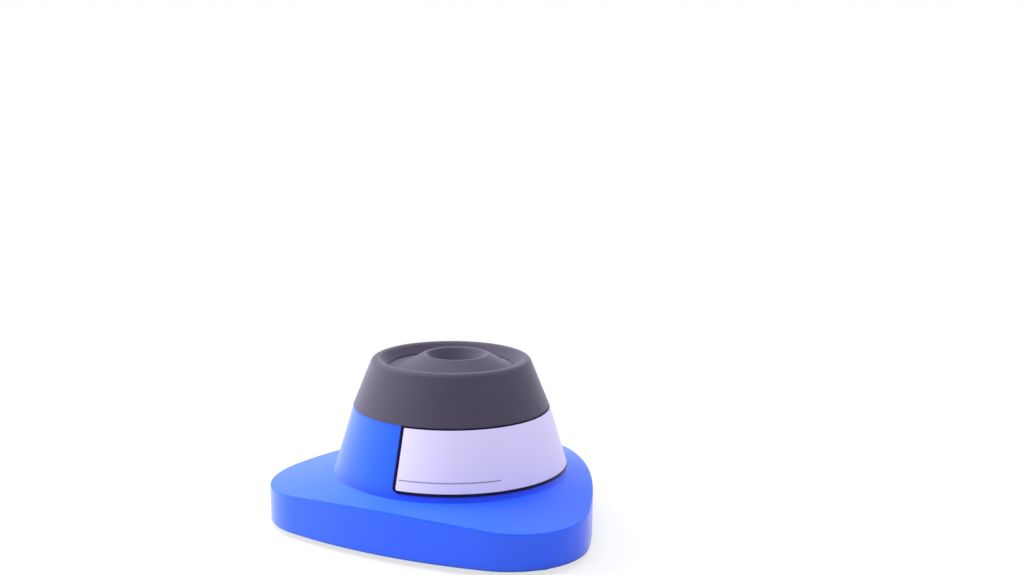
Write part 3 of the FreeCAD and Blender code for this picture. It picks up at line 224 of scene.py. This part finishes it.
class CameraSettings(bpy.types.PropertyGroup):
    place: bpy.props.FloatVectorProperty(
        name="Place", description="Where the camera stands", subtype="XYZ", size=3, unit="LENGTH",
        default=(-0.2796, -0.4574, 0.1847))
    aim: bpy.props.FloatVectorProperty(
        name="Aim", description="Point on the drive axis that the camera faces", subtype="XYZ", size=3,
        unit="LENGTH", default=(0, AXIS_Y, 0.042))
    lens: bpy.props.FloatProperty(name="Lens", description="Focal length in millimetres", default=51.65)
    shift: bpy.props.FloatVectorProperty(
        name="Shift", description="Shift that frames the mixer low and left", size=2,
        default=(0.0594, 0.1234))


class Value:
    """A number or colour that varies over a surface. Arithmetic on it adds Math nodes."""

    def __init__(self, graph, socket):
        self.graph = graph
        self.socket = socket

    def __add__(self, other):
        return self.graph.math("ADD", self, other)

    def __radd__(self, other):
        return self.graph.math("ADD", other, self)

    def __sub__(self, other):
        return self.graph.math("SUBTRACT", self, other)

    def __rsub__(self, other):
        return self.graph.math("SUBTRACT", other, self)

    def __mul__(self, other):
        return self.graph.math("MULTIPLY", self, other)

    def __rmul__(self, other):
        return self.graph.math("MULTIPLY", other, self)

    def __pow__(self, other):
        return self.graph.math("POWER", self, other)

    def __abs__(self):
        return self.graph.math("ABSOLUTE", self)

    def least(self, other):
        return self.graph.math("MINIMUM", self, other)

    def most(self, other):
        return self.graph.math("MAXIMUM", self, other)

    def ramp(self, low, high):
        """0 below low and 1 above high, smooth between them; falls instead where low is the larger."""
        rising = low < high
        first, last = sorted((low, high))
        return self.graph.node(
            "ShaderNodeMapRange", {"interpolation_type": "SMOOTHSTEP"},
            {"Value": self, "From Min": first, "From Max": last,
             "To Min": 0.0 if rising else 1.0, "To Max": 1.0 if rising else 0.0})


class Graph:
    """A node tree whose nodes are added by their type and joined by their sockets."""

    def __init__(self, tree):
        self.tree = tree
        tree.nodes.clear()

    def node(self, kind, settings=None, sockets=None, output=0):
        """Add a node: its settings first, then its sockets' values or links. Gives one of its outputs."""
        added = self.tree.nodes.new(kind)
        for key, setting in (settings or {}).items():
            setattr(added, key, setting)
        for key, value in (sockets or {}).items():
            self.feed(added.inputs[key], value)
        return Value(self, added.outputs[output]) if len(added.outputs) else added

    def feed(self, socket, value):
        """Link a varying value to a socket, or set a constant on it."""
        if isinstance(value, Value):
            self.tree.links.new(value.socket, socket)
        elif socket.type == "RGBA":
            socket.default_value = (*value[:3], 1.0)
        else:
            socket.default_value = value

    def math(self, operation, *values):
        return self.node("ShaderNodeMath", {"operation": operation}, dict(enumerate(values)))

    def place(self):
        """The object coordinates, as a vector."""
        return self.node("ShaderNodeTexCoord", output="Object")

    def split(self, vector):
        """A vector's three numbers."""
        separate = self.node("ShaderNodeSeparateXYZ", None, {"Vector": vector}).socket.node
        return [Value(self, number) for number in separate.outputs]

    def stretched(self, scale):
        """Object coordinates scaled by a different amount along each axis."""
        return self.node("ShaderNodeMapping", None, {"Vector": self.place(), "Scale": scale})

    def noise(self, size, detail=2.0, vector=None):
        """Noise whose blotches are about one size wide, from 0 to 1."""
        return self.node(
            "ShaderNodeTexNoise", {"noise_dimensions": "3D"},
            {"Vector": vector or self.place(), "Scale": 1 / size, "Detail": detail, "Roughness": 0.55})

    def blend(self, amount, first, second):
        """One colour turning into another."""
        return self.node("ShaderNodeMix", {"data_type": "RGBA"}, {0: amount, 6: first, 7: second}, output=2)

    def around_axis(self):
        """Radius from the drive axis, angle from the front in radians, and height."""
        x, y, z = self.split(self.place())
        y = y - AXIS_Y
        radius = (x * x + y * y) ** 0.5
        angle = self.math("ARCTAN2", x, 0.0 - y)
        return radius, angle, z

    def backdrop_rays(self):
        """1 on rays that show the backdrop itself: seen, mirrored or through something clear."""
        seen, mirrored, through = [
            self.node("ShaderNodeLightPath", output=f"Is {kind} Ray")
            for kind in ("Camera", "Glossy", "Transmission")]
        return seen.most(mirrored).most(through)


class Finish(Graph):
    """A material with one surface shader."""

    def __init__(self, name):
        self.material = bpy.data.materials.new(name)
        self.material.use_nodes = True
        super().__init__(self.material.node_tree)
        surface = self.node("ShaderNodeBsdfPrincipled")
        self.shader = surface.socket.node
        self.node("ShaderNodeOutputMaterial", None, {"Surface": surface})

    def give(self, **inputs):
        """Set or link inputs of the surface shader, named with underscores for spaces."""
        for key, value in inputs.items():
            self.feed(self.shader.inputs[key.replace("_", " ")], value)

    def raise_surface(self, height, depth, strength):
        """Bump the surface by a height from 0 to 1 times a depth in metres."""
        self.give(Normal=self.node(
            "ShaderNodeBump", None, {"Height": height, "Distance": depth, "Strength": strength}))


def shade(colour, factor):
    """A colour made lighter or darker, kept in range."""
    return tuple(min(1.0, channel * factor) for channel in colour)


def paint(material, *names):
    """Give CAD nodes a material."""
    for name in names:
        mesh = nodes[name].data
        mesh.materials.clear()
        mesh.materials.append(material)


def moulded_shell(settings, label):
    """Satin moulded plastic: mould grain, flow clouds, painted shade at the neck's foot, along the lower edge
    and above the label, and a rubbed wall.
    """
    finish = Finish("moulded_blue")
    _, angle, z = finish.around_axis()
    low = SHELL_LOW.z
    waist = low + settings.waist
    onset = 0.0003
    end_fade = 0.01
    # Painted shade: a band at the neck's foot is darkened as the shade that falls in the crease
    crease_shade = z.ramp(waist + settings.crease_shade, waist) * z.ramp(waist, waist + onset)
    # Painted shade: a band along the lower edge is darkened as the shade where the shell meets the floor
    edge = z.ramp(low + settings.edge, low + onset)
    # Painted shade: the sliver of shell between the label's top and the cover is painted in the border's dark
    # colour, as the shade in that gap
    shade_over_label = z.ramp(LABEL_HIGH.z - onset, LABEL_HIGH.z)
    shade_over_label = shade_over_label * abs(angle).ramp(label.half_angle, label.half_angle - end_fade)
    cloud = finish.noise(0.03, detail=3.0)
    grain = finish.noise(settings.grain, detail=1.0)
    rub = finish.noise(0.004, detail=4.0).ramp(0.52, 0.70) * z.ramp(low + settings.rub, low)
    colour = tuple(settings.colour)
    red, green, blue = colour
    rubbed = (0.22, 0.30, 0.92)
    tone = finish.blend(cloud, shade(colour, 0.93), shade(colour, 1.07))
    # Painted shade in the crease at the neck's foot
    tone = finish.blend(crease_shade * 0.55, tone, (red * 0.5, green * 0.4, blue * 0.96))
    # Painted shade along the lower edge
    tone = finish.blend(edge * 0.8, tone, (red, green * 0.9, blue * 0.55))
    # Painted shade in the gap between the label's top and the cover
    tone = finish.blend(shade_over_label, tone, tuple(label.border))
    tone = finish.blend(rub * 0.07, tone, rubbed)
    finish.give(Base_Color=tone, Roughness=settings.roughness + (cloud - 0.5) * 0.10 + rub * 0.12,
                Specular_IOR_Level=0.42, IOR=1.49, Sheen_Weight=0.40, Sheen_Roughness=0.40)
    finish.raise_surface(grain, depth=0.00003, strength=0.35)
    return finish.material


def soft_moulding(name, settings, parting):
    """Matte silicone: dusty bloom, a very fine skin, pale flecks and, where asked for, a faint mould line."""
    finish = Finish(name)
    colour = tuple(settings.colour)
    bloom = finish.noise(0.018, detail=4.0)
    fleck = finish.noise(0.0011, detail=1.0).ramp(0.70, 0.78)
    height = finish.noise(0.00022) * 0.25
    tone = finish.blend(bloom, shade(colour, 0.90), shade(colour, 1.12))
    tone = finish.blend(fleck * 0.10, tone, shade(colour, 2.2))
    if parting:
        _, _, z = finish.around_axis()
        level = COVER_LOW.z + settings.parting
        line_core = 0.0001
        line_reach = 0.0006
        step_reach = 0.0003
        line = abs(z - level).ramp(line_reach, line_core)
        step = z.ramp(level - step_reach, level + step_reach)
        height = height + line * 0.4 + step * 0.5
        tone = finish.blend(line * 0.08, tone, shade(colour, 0.75))
    finish.give(Base_Color=tone, Roughness=settings.roughness + (bloom - 0.5) * 0.12, Specular_IOR_Level=0.10,
                Sheen_Weight=0.35, Sheen_Roughness=0.40, Sheen_Tint=(0.82, 0.78, 0.90))
    finish.raise_surface(height, depth=0.00006, strength=0.5)
    return finish.material


def printed_label(settings):
    """Pale film with a dark border that follows its rounded outline, and one thin rule line."""
    finish = Finish("label_print")
    radius, angle, z = finish.around_axis()
    border_fade = 0.00006
    rule_fade = 0.00005
    turn_fade = math.radians(0.2)
    from_end = (settings.half_angle - abs(angle)) * radius - settings.end_border
    from_low = z - LABEL_LOW.z - settings.low_border
    from_high = LABEL_HIGH.z - z - settings.top_border
    along = (settings.corner - from_end).most(0.0)
    down = (settings.corner - from_low).most(0.0)
    inset = (settings.corner - (along * along + down * down) ** 0.5).least(from_high)
    border = inset.ramp(border_fade, -border_fade)
    half_rule = settings.rule_width / 2
    rule = abs(z - (LABEL_LOW.z + settings.rule_level)).ramp(half_rule + rule_fade, half_rule - rule_fade)
    rule = rule * angle.ramp(settings.rule_start - turn_fade, settings.rule_start + turn_fade)
    rule = rule * angle.ramp(settings.rule_end + turn_fade, settings.rule_end - turn_fade)
    cloud = finish.noise(0.012, detail=3.0)
    grain = finish.noise(0.0003, detail=1.0)
    film = tuple(settings.film)
    tone = finish.blend(cloud, shade(film, 0.975), shade(film, 1.02))
    tone = finish.blend(rule * 0.75, tone, tuple(settings.rule))
    tone = finish.blend(border, tone, tuple(settings.border))
    finish.give(Base_Color=tone, Roughness=0.34 + (cloud - 0.5) * 0.08 - border * 0.06,
                Specular_IOR_Level=0.12)
    finish.raise_surface(grain + border * 0.6, depth=0.00001, strength=0.3)
    return finish.material


def rubber(name, colour):
    """Dull rubber with a chalky bloom."""
    finish = Finish(name)
    bloom = finish.noise(0.006, detail=4.0)
    tone = finish.blend(bloom, shade(colour, 0.75), shade(colour, 1.5))
    finish.give(Base_Color=tone, Roughness=0.72 + bloom * 0.15, Specular_IOR_Level=0.3)
    finish.raise_surface(finish.noise(0.0004), depth=0.00004, strength=0.5)
    return finish.material


def grained_plastic(name, colour, roughness, grain):
    """Engineering plastic with a sparked grain and slight colour drift."""
    finish = Finish(name)
    drift = finish.noise(0.015, detail=3.0)
    tone = finish.blend(drift, shade(colour, 0.88), shade(colour, 1.12))
    finish.give(Base_Color=tone, Roughness=roughness + (drift - 0.5) * 0.12)
    finish.raise_surface(finish.noise(grain, detail=1.0), depth=0.00003, strength=0.5)
    return finish.material


def worked_metal(name, colour, roughness, streak=(300.0, 300.0, 6000.0), tarnish=0.25):
    """Plated or turned metal: tool streaks in its roughness and a patchy tarnish."""
    finish = Finish(name)
    streaks = finish.noise(1.0, vector=finish.stretched(streak))
    patch = finish.noise(0.005, detail=4.0)
    tone = finish.blend(patch * tarnish, colour, shade(colour, 0.55))
    finish.give(Base_Color=tone, Metallic=1.0, Roughness=roughness + (streaks - 0.5) * 0.16 + patch * 0.06)
    finish.raise_surface(streaks, depth=0.000012, strength=0.4)
    return finish.material


def wound_copper(name, colour):
    """Enamelled wire laid up in close, slightly slanted turns."""
    finish = Finish(name)
    x, _, z = finish.split(finish.place())
    pitch = 0.0005
    slant = 0.2
    turns = finish.math("SINE", (z + x * slant) * (2 * math.pi / pitch))
    patch = finish.noise(0.003, detail=3.0)
    tone = finish.blend(turns * 0.3 + patch * 0.4, colour, shade(colour, 0.35))
    finish.give(Base_Color=tone, Metallic=0.85, Roughness=0.30 + patch * 0.15)
    finish.raise_surface(turns, depth=0.00008, strength=0.6)
    return finish.material


def stacked_sheet(name, colour):
    """Stamped steel sheets, stacked and varnished."""
    finish = Finish(name)
    _, _, z = finish.split(finish.place())
    pitch = 0.0005
    sheets = finish.math("SINE", z * (2 * math.pi / pitch))
    patch = finish.noise(0.004, detail=3.0)
    tone = finish.blend(patch, shade(colour, 0.8), shade(colour, 1.15))
    finish.give(Base_Color=tone, Metallic=0.9, Roughness=0.42 + patch * 0.15)
    finish.raise_surface(sheets, depth=0.00005, strength=0.6)
    return finish.material


class MixerOperator:
    """What every step of the dressing shares."""

    bl_options = {"REGISTER", "UNDO"}

    @classmethod
    def poll(cls, context):
        return context.mode == "OBJECT"


class MIXER_OT_shell(MixerOperator, bpy.types.Operator):
    """Finish the moulded blue shell"""

    bl_idname = "mixer.shell"
    bl_label = "Shell"

    def execute(self, context):
        paint(moulded_shell(context.scene.mixer_shell, context.scene.mixer_label), "housing_shell")
        return {"FINISHED"}


class MIXER_OT_soft_top(MixerOperator, bpy.types.Operator):
    """Finish the soft cover ring and the soft cup"""

    bl_idname = "mixer.soft_top"
    bl_label = "Soft top"

    def execute(self, context):
        settings = context.scene.mixer_soft
        paint(soft_moulding("silicone_cover", settings, parting=True), "top_cover")
        paint(soft_moulding("silicone_cup", settings, parting=False), "cup_head")
        return {"FINISHED"}


class MIXER_OT_label(MixerOperator, bpy.types.Operator):
    """Print the border and the rule line on the front label"""

    bl_idname = "mixer.label"
    bl_label = "Label"

    def execute(self, context):
        paint(printed_label(context.scene.mixer_label), "front_label")
        return {"FINISHED"}


class MIXER_OT_plastics(MixerOperator, bpy.types.Operator):
    """Finish the bottom plate, the switch, the inlet, the leads and the inner plastic pieces"""

    bl_idname = "mixer.plastics"
    bl_label = "Plastics"

    def execute(self, context):
        paint(grained_plastic("plate_plastic", (0.030, 0.032, 0.042), 0.55, 0.0004), "bottom_plate")
        paint(grained_plastic("inlet_plastic", (0.012, 0.012, 0.014), 0.38, 0.0003), "dc_jack_body")
        paint(grained_plastic("switch_plastic", (0.020, 0.020, 0.022), 0.45, 0.0003), "switch_body")
        paint(grained_plastic("carrier_plastic", (0.045, 0.046, 0.055), 0.48, 0.0004), "cup_carrier")
        nylon = grained_plastic("natural_nylon", (0.70, 0.67, 0.60), 0.45, 0.0005)
        paint(nylon, "guide_bushes", "motor_end_cap", "switch_plunger")
        red = grained_plastic("red_insulation", (0.45, 0.012, 0.010), 0.40, 0.0003)
        paint(red, "lead_jack_to_switch", "lead_switch_to_motor")
        black = grained_plastic("black_insulation", (0.010, 0.010, 0.012), 0.40, 0.0003)
        paint(black, "lead_jack_to_motor")
        paint(rubber("carbon_brush", (0.03, 0.03, 0.03)), "motor_brushes")
        paint(rubber("ferrite_magnet", (0.035, 0.035, 0.04)), "motor_magnets")
        return {"FINISHED"}


class MIXER_OT_metals(MixerOperator, bpy.types.Operator):
    """Finish the screws, the bracket, the motor, the bearing and the contacts"""

    bl_idname = "mixer.metals"
    bl_label = "Metals"

    def execute(self, context):
        zinc = worked_metal("zinc_plate", (0.60, 0.61, 0.62), 0.36)
        paint(zinc, "ballast_plate", "base_screws", "guide_screws", "switch_screws", "motor_screws",
              "motor_bracket", "dc_jack_nut")
        paint(worked_metal("nickel_can", (0.52, 0.52, 0.51), 0.30), "motor_can")
        ground = worked_metal("ground_steel", (0.66, 0.67, 0.68), 0.12, (900.0, 900.0, 9000.0), 0.08)
        paint(ground, "motor_shaft", "bearing_inner_race", "bearing_outer_race", "bearing_balls")
        alloy = worked_metal("turned_alloy", (0.70, 0.71, 0.72), 0.28, (500.0, 500.0, 9000.0), 0.10)
        paint(alloy, "eccentric_hub")
        paint(worked_metal("black_oxide", (0.10, 0.10, 0.11), 0.42), "hub_set_screw")
        brass = worked_metal("contact_brass", (0.78, 0.58, 0.26), 0.30)
        paint(brass, "switch_terminals", "motor_terminals", "dc_jack_pin", "dc_jack_tags", "bearing_cage")
        bronze = worked_metal("oiled_bronze", (0.48, 0.30, 0.14), 0.46)
        paint(bronze, "motor_front_bush", "motor_rear_bush")
        paint(wound_copper("winding_copper", (0.62, 0.24, 0.09)), "armature_windings")
        paint(worked_metal("bar_copper", (0.70, 0.32, 0.16), 0.26), "motor_commutator")
        paint(stacked_sheet("core_sheet", (0.30, 0.31, 0.33)), "armature_core")
        return {"FINISHED"}


def start_mesh():
    """Leave edit mode and select nothing, so that the next primitive stands alone."""
    if bpy.context.object and bpy.context.object.mode != "OBJECT":
        bpy.ops.object.mode_set(mode="OBJECT")
    bpy.ops.object.select_all(action="DESELECT")


def pick(piece):
    """In object mode, select one piece alone and make it active."""
    bpy.ops.object.mode_set(mode="OBJECT")
    bpy.ops.object.select_all(action="DESELECT")
    piece.select_set(True)
    bpy.context.view_layer.objects.active = piece


def pick_faces(piece, chosen):
    """In edit mode, select only the faces whose normal passes a test."""
    bpy.ops.object.mode_set(mode="OBJECT")
    for vertex in piece.data.vertices:
        vertex.select = False
    for edge in piece.data.edges:
        edge.select = False
    for face in piece.data.polygons:
        face.select = chosen(face.normal)
    bpy.ops.object.mode_set(mode="EDIT")
    bpy.ops.mesh.select_mode(type="FACE")


def settle(piece):
    """Put a piece's place into its mesh and leave its object at the origin."""
    pick(piece)
    bpy.ops.object.transform_apply(location=True, rotation=True, scale=True)


def copied(piece, name, step):
    """A copy of a finished piece, with a mesh of its own, moved by a step."""
    pick(piece)
    bpy.ops.object.duplicate(linked=False)
    copy = bpy.context.object
    copy.name = name
    copy.location = step
    settle(copy)
    return copy


class MIXER_OT_springs(MixerOperator, bpy.types.Operator):
    """Wind the three press springs"""

    bl_idname = "mixer.springs"
    bl_label = "Press springs"

    def wind(self, settings, low, high):
        """A coil with closed wire ends that fills a box."""
        centre = (low + high) / 2
        coil = (high.x - low.x) / 2 - settings.wire
        start_mesh()
        bpy.ops.mesh.primitive_circle_add(
            vertices=WIRE_SIDES, radius=settings.wire, location=(coil, 0, low.z + settings.wire),
            rotation=(math.pi / 2, 0, 0))
        spring = bpy.context.object
        settle(spring)
        winding = spring.modifiers.new("winding", "SCREW")
        winding.axis = "Z"
        winding.angle = settings.turns * 2 * math.pi
        winding.screw_offset = high.z - low.z - 2 * settings.wire
        winding.steps = winding.render_steps = round(settings.turns * STEPS_PER_TURN)
        winding.use_merge_vertices = False
        bpy.ops.object.modifier_apply(modifier="winding")
        bpy.ops.object.mode_set(mode="EDIT")
        bpy.ops.mesh.select_mode(type="EDGE")
        bpy.ops.mesh.select_all(action="DESELECT")
        bpy.ops.mesh.select_non_manifold()
        bpy.ops.mesh.edge_face_add()
        bpy.ops.mesh.select_all(action="SELECT")
        bpy.ops.mesh.normals_make_consistent(inside=False)
        bpy.ops.transform.translate(value=(centre.x, centre.y, 0))
        settle(spring)
        bpy.ops.object.shade_smooth_by_angle(angle=math.radians(50))
        return spring

    def execute(self, context):
        steel = worked_metal("spring_wire", (0.46, 0.47, 0.49), 0.30, (2000.0, 2000.0, 2000.0), 0.15)
        low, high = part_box("press_spring_front")
        front = self.wind(context.scene.mixer_spring, low, high)
        front.name = "spring_front"
        front.data.materials.append(steel)
        springs = {"front": front}
        for corner in ("right", "left"):
            corner_low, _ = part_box(f"press_spring_{corner}")
            springs[corner] = copied(front, f"spring_{corner}", corner_low - low)
        press = next(joint for joint in frame["joints"] if joint["name"] == "press")
        keep = 1 + press["range_m"][0] / (high.z - low.z)
        for corner, piece in springs.items():
            node = f"press_spring_{corner}"
            low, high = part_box(node)
            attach(piece, "base")
            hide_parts(node)
            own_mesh(piece)
        return {"FINISHED"}


class MIXER_OT_feet(MixerOperator, bpy.types.Operator):
    """Shape the three rubber feet: a rounded pad with a hollowed sole, a stem and a snap bulb"""

    bl_idname = "mixer.feet"
    bl_label = "Feet"

    def shape(self, settings, low, high):
        """A foot that fills a box: the pad and its sole first, then the stem and the bulb on top."""
        centre = (low + high) / 2
        radius = (high.x - low.x) / 2
        top = (centre.x, centre.y, high.z)
        pad_high = SHELL_LOW.z + settings.recess
        stem_height = high.z - settings.bulb_height - pad_high
        flare = settings.bulb / settings.stem
        start_mesh()
        bpy.ops.mesh.primitive_cylinder_add(
            vertices=FOOT_SIDES, radius=radius, depth=pad_high - low.z,
            location=(centre.x, centre.y, (low.z + pad_high) / 2))
        foot = bpy.context.object
        settle(foot)
        pick_faces(foot, lambda normal: normal.z < -LEVEL)
        for inward, outward in SOLE_STEPS:
            bpy.ops.mesh.inset(thickness=inward, depth=outward)
        pick_faces(foot, lambda normal: normal.z > LEVEL)
        bpy.ops.mesh.inset(thickness=radius - settings.stem, depth=0)
        bpy.ops.mesh.extrude_region_move(TRANSFORM_OT_translate={"value": (0, 0, stem_height)})
        bpy.ops.transform.resize(value=(flare, flare, 1), center_override=top)
        bpy.ops.mesh.extrude_region_move(TRANSFORM_OT_translate={"value": (0, 0, settings.bulb_height)})
        bpy.ops.transform.resize(value=(settings.bulb_top, settings.bulb_top, 1), center_override=top)
        settle(foot)
        rounding = foot.modifiers.new("rounding", "BEVEL")
        rounding.width = settings.rounding
        rounding.segments = 3
        rounding.limit_method = "ANGLE"
        rounding.angle_limit = math.radians(40)
        bpy.ops.object.modifier_apply(modifier="rounding")
        bpy.ops.object.shade_smooth_by_angle(angle=math.radians(40))
        return foot

    def execute(self, context):
        settings = context.scene.mixer_foot
        low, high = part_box("foot_front")
        front = self.shape(settings, low, high)
        front.name = "foot_front_pad"
        front.data.materials.append(rubber("foot_rubber", tuple(settings.colour)))
        feet = {"foot_front": front}
        for node in ("foot_rear_left", "foot_rear_right"):
            node_low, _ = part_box(node)
            feet[node] = copied(front, f"{node}_pad", node_low - low)
        for node, piece in feet.items():
            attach(piece, "base")
            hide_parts(node)
        return {"FINISHED"}


class MIXER_OT_studio(MixerOperator, bpy.types.Operator):
    """Set the pale floor, the soft lamps and the camera"""

    bl_idname = "mixer.studio"
    bl_label = "Studio"

    def make_lamp(self, name, place, width, colour, power):
        data = bpy.data.lights.new(name, "AREA")
        data.shape = "DISK"
        data.size = width
        data.energy = power
        data.color = colour
        lamp = bpy.data.objects.new(name, data)
        bpy.context.scene.collection.objects.link(lamp)
        lamp.location = place
        lamp.rotation_euler = (LAMP_AIM - Vector(place)).to_track_quat("-Z", "Y").to_euler()
        lamp.visible_glossy = False

    def make_floor(self, settings):
        start_mesh()
        bpy.ops.mesh.primitive_plane_add(size=FLOOR_SIZE, location=(0, 0, -FLOOR_DROP))
        floor = bpy.context.object
        floor.name = "studio_floor"
        material = bpy.data.materials.new("studio_floor")
        material.use_nodes = True
        graph = Graph(material.node_tree)
        matte = graph.node("ShaderNodeBsdfDiffuse", None, {"Color": settings.floor})
        white = graph.node("ShaderNodeEmission", None, {"Color": WHITE, "Strength": 1.0})
        radius, _, _ = graph.around_axis()
        far = radius.ramp(settings.shadow_reach / 3, settings.shadow_reach)
        share = settings.near_white + (1 - settings.near_white) * far
        seen = graph.node("ShaderNodeMixShader", None, {0: graph.backdrop_rays() * share, 1: matte, 2: white})
        graph.node("ShaderNodeOutputMaterial", None, {"Surface": seen})
        floor.data.materials.append(material)

    def make_room(self, settings):
        world = bpy.data.worlds.new("studio_room")
        bpy.context.scene.world = world
        world.use_nodes = True
        graph = Graph(world.node_tree)
        soft = graph.node(
            "ShaderNodeBackground", None, {"Color": settings.ambient_tint, "Strength": settings.ambient})
        white = graph.node("ShaderNodeBackground", None, {"Color": WHITE, "Strength": 1.0})
        seen = graph.node("ShaderNodeMixShader", None, {0: graph.backdrop_rays(), 1: soft, 2: white})
        graph.node("ShaderNodeOutputWorld", None, {"Surface": seen})

    def make_camera(self, settings):
        data = bpy.data.cameras.new("studio_camera")
        camera = bpy.data.objects.new("studio_camera", data)
        scene = bpy.context.scene
        scene.collection.objects.link(camera)
        place = Vector(settings.place)
        camera.location = place
        camera.rotation_euler = (Vector(settings.aim) - place).to_track_quat("-Z", "Y").to_euler()
        data.sensor_width = 36
        data.lens = settings.lens
        data.shift_x, data.shift_y = settings.shift
        data.clip_start = 0.01
        scene.camera = camera

    def execute(self, context):
        settings = context.scene.mixer_studio
        self.make_floor(settings)
        self.make_room(settings)
        for name, place, width, colour in LAMPS:
            self.make_lamp(f"{name}_lamp", place, width, colour, getattr(settings, name))
        self.make_camera(context.scene.mixer_camera)
        context.scene.view_settings.view_transform = "Standard"
        return {"FINISHED"}


STEPS = (
    MIXER_OT_shell, MIXER_OT_soft_top, MIXER_OT_label, MIXER_OT_plastics, MIXER_OT_metals, MIXER_OT_springs,
    MIXER_OT_feet, MIXER_OT_studio)
SETTINGS = {
    "mixer_shell": ShellSettings,
    "mixer_soft": SoftSettings,
    "mixer_label": LabelSettings,
    "mixer_spring": SpringSettings,
    "mixer_foot": FootSettings,
    "mixer_studio": StudioSettings,
    "mixer_camera": CameraSettings,
}


class MIXER_PT_dressing(bpy.types.Panel):
    """Lists the steps that dress the mixer and the settings they read"""

    bl_idname = "MIXER_PT_dressing"
    bl_label = "Vortex mixer"
    bl_space_type = "VIEW_3D"
    bl_region_type = "UI"
    bl_category = "Mixer"

    def draw(self, context):
        for step in STEPS:
            self.layout.operator(step.bl_idname)
        for name, group in SETTINGS.items():
            box = self.layout.box()
            for setting in group.__annotations__:
                box.prop(getattr(context.scene, name), setting)


def register():
    for group in SETTINGS.values():
        bpy.utils.register_class(group)
    for step in STEPS:
        bpy.utils.register_class(step)
    bpy.utils.register_class(MIXER_PT_dressing)
    for name, group in SETTINGS.items():
        setattr(bpy.types.Scene, name, bpy.props.PointerProperty(type=group))


def unregister():
    for name in SETTINGS:
        delattr(bpy.types.Scene, name)
    bpy.utils.unregister_class(MIXER_PT_dressing)
    for step in reversed(STEPS):
        bpy.utils.unregister_class(step)
    for group in SETTINGS.values():
        bpy.utils.unregister_class(group)


def main():
    register()
    bpy.ops.mixer.shell()
    bpy.ops.mixer.soft_top()
    bpy.ops.mixer.label()
    bpy.ops.mixer.plastics()
    bpy.ops.mixer.metals()
    bpy.ops.mixer.springs()
    bpy.ops.mixer.feet()
    bpy.ops.mixer.studio()


if __name__ == "__main__":
    main()
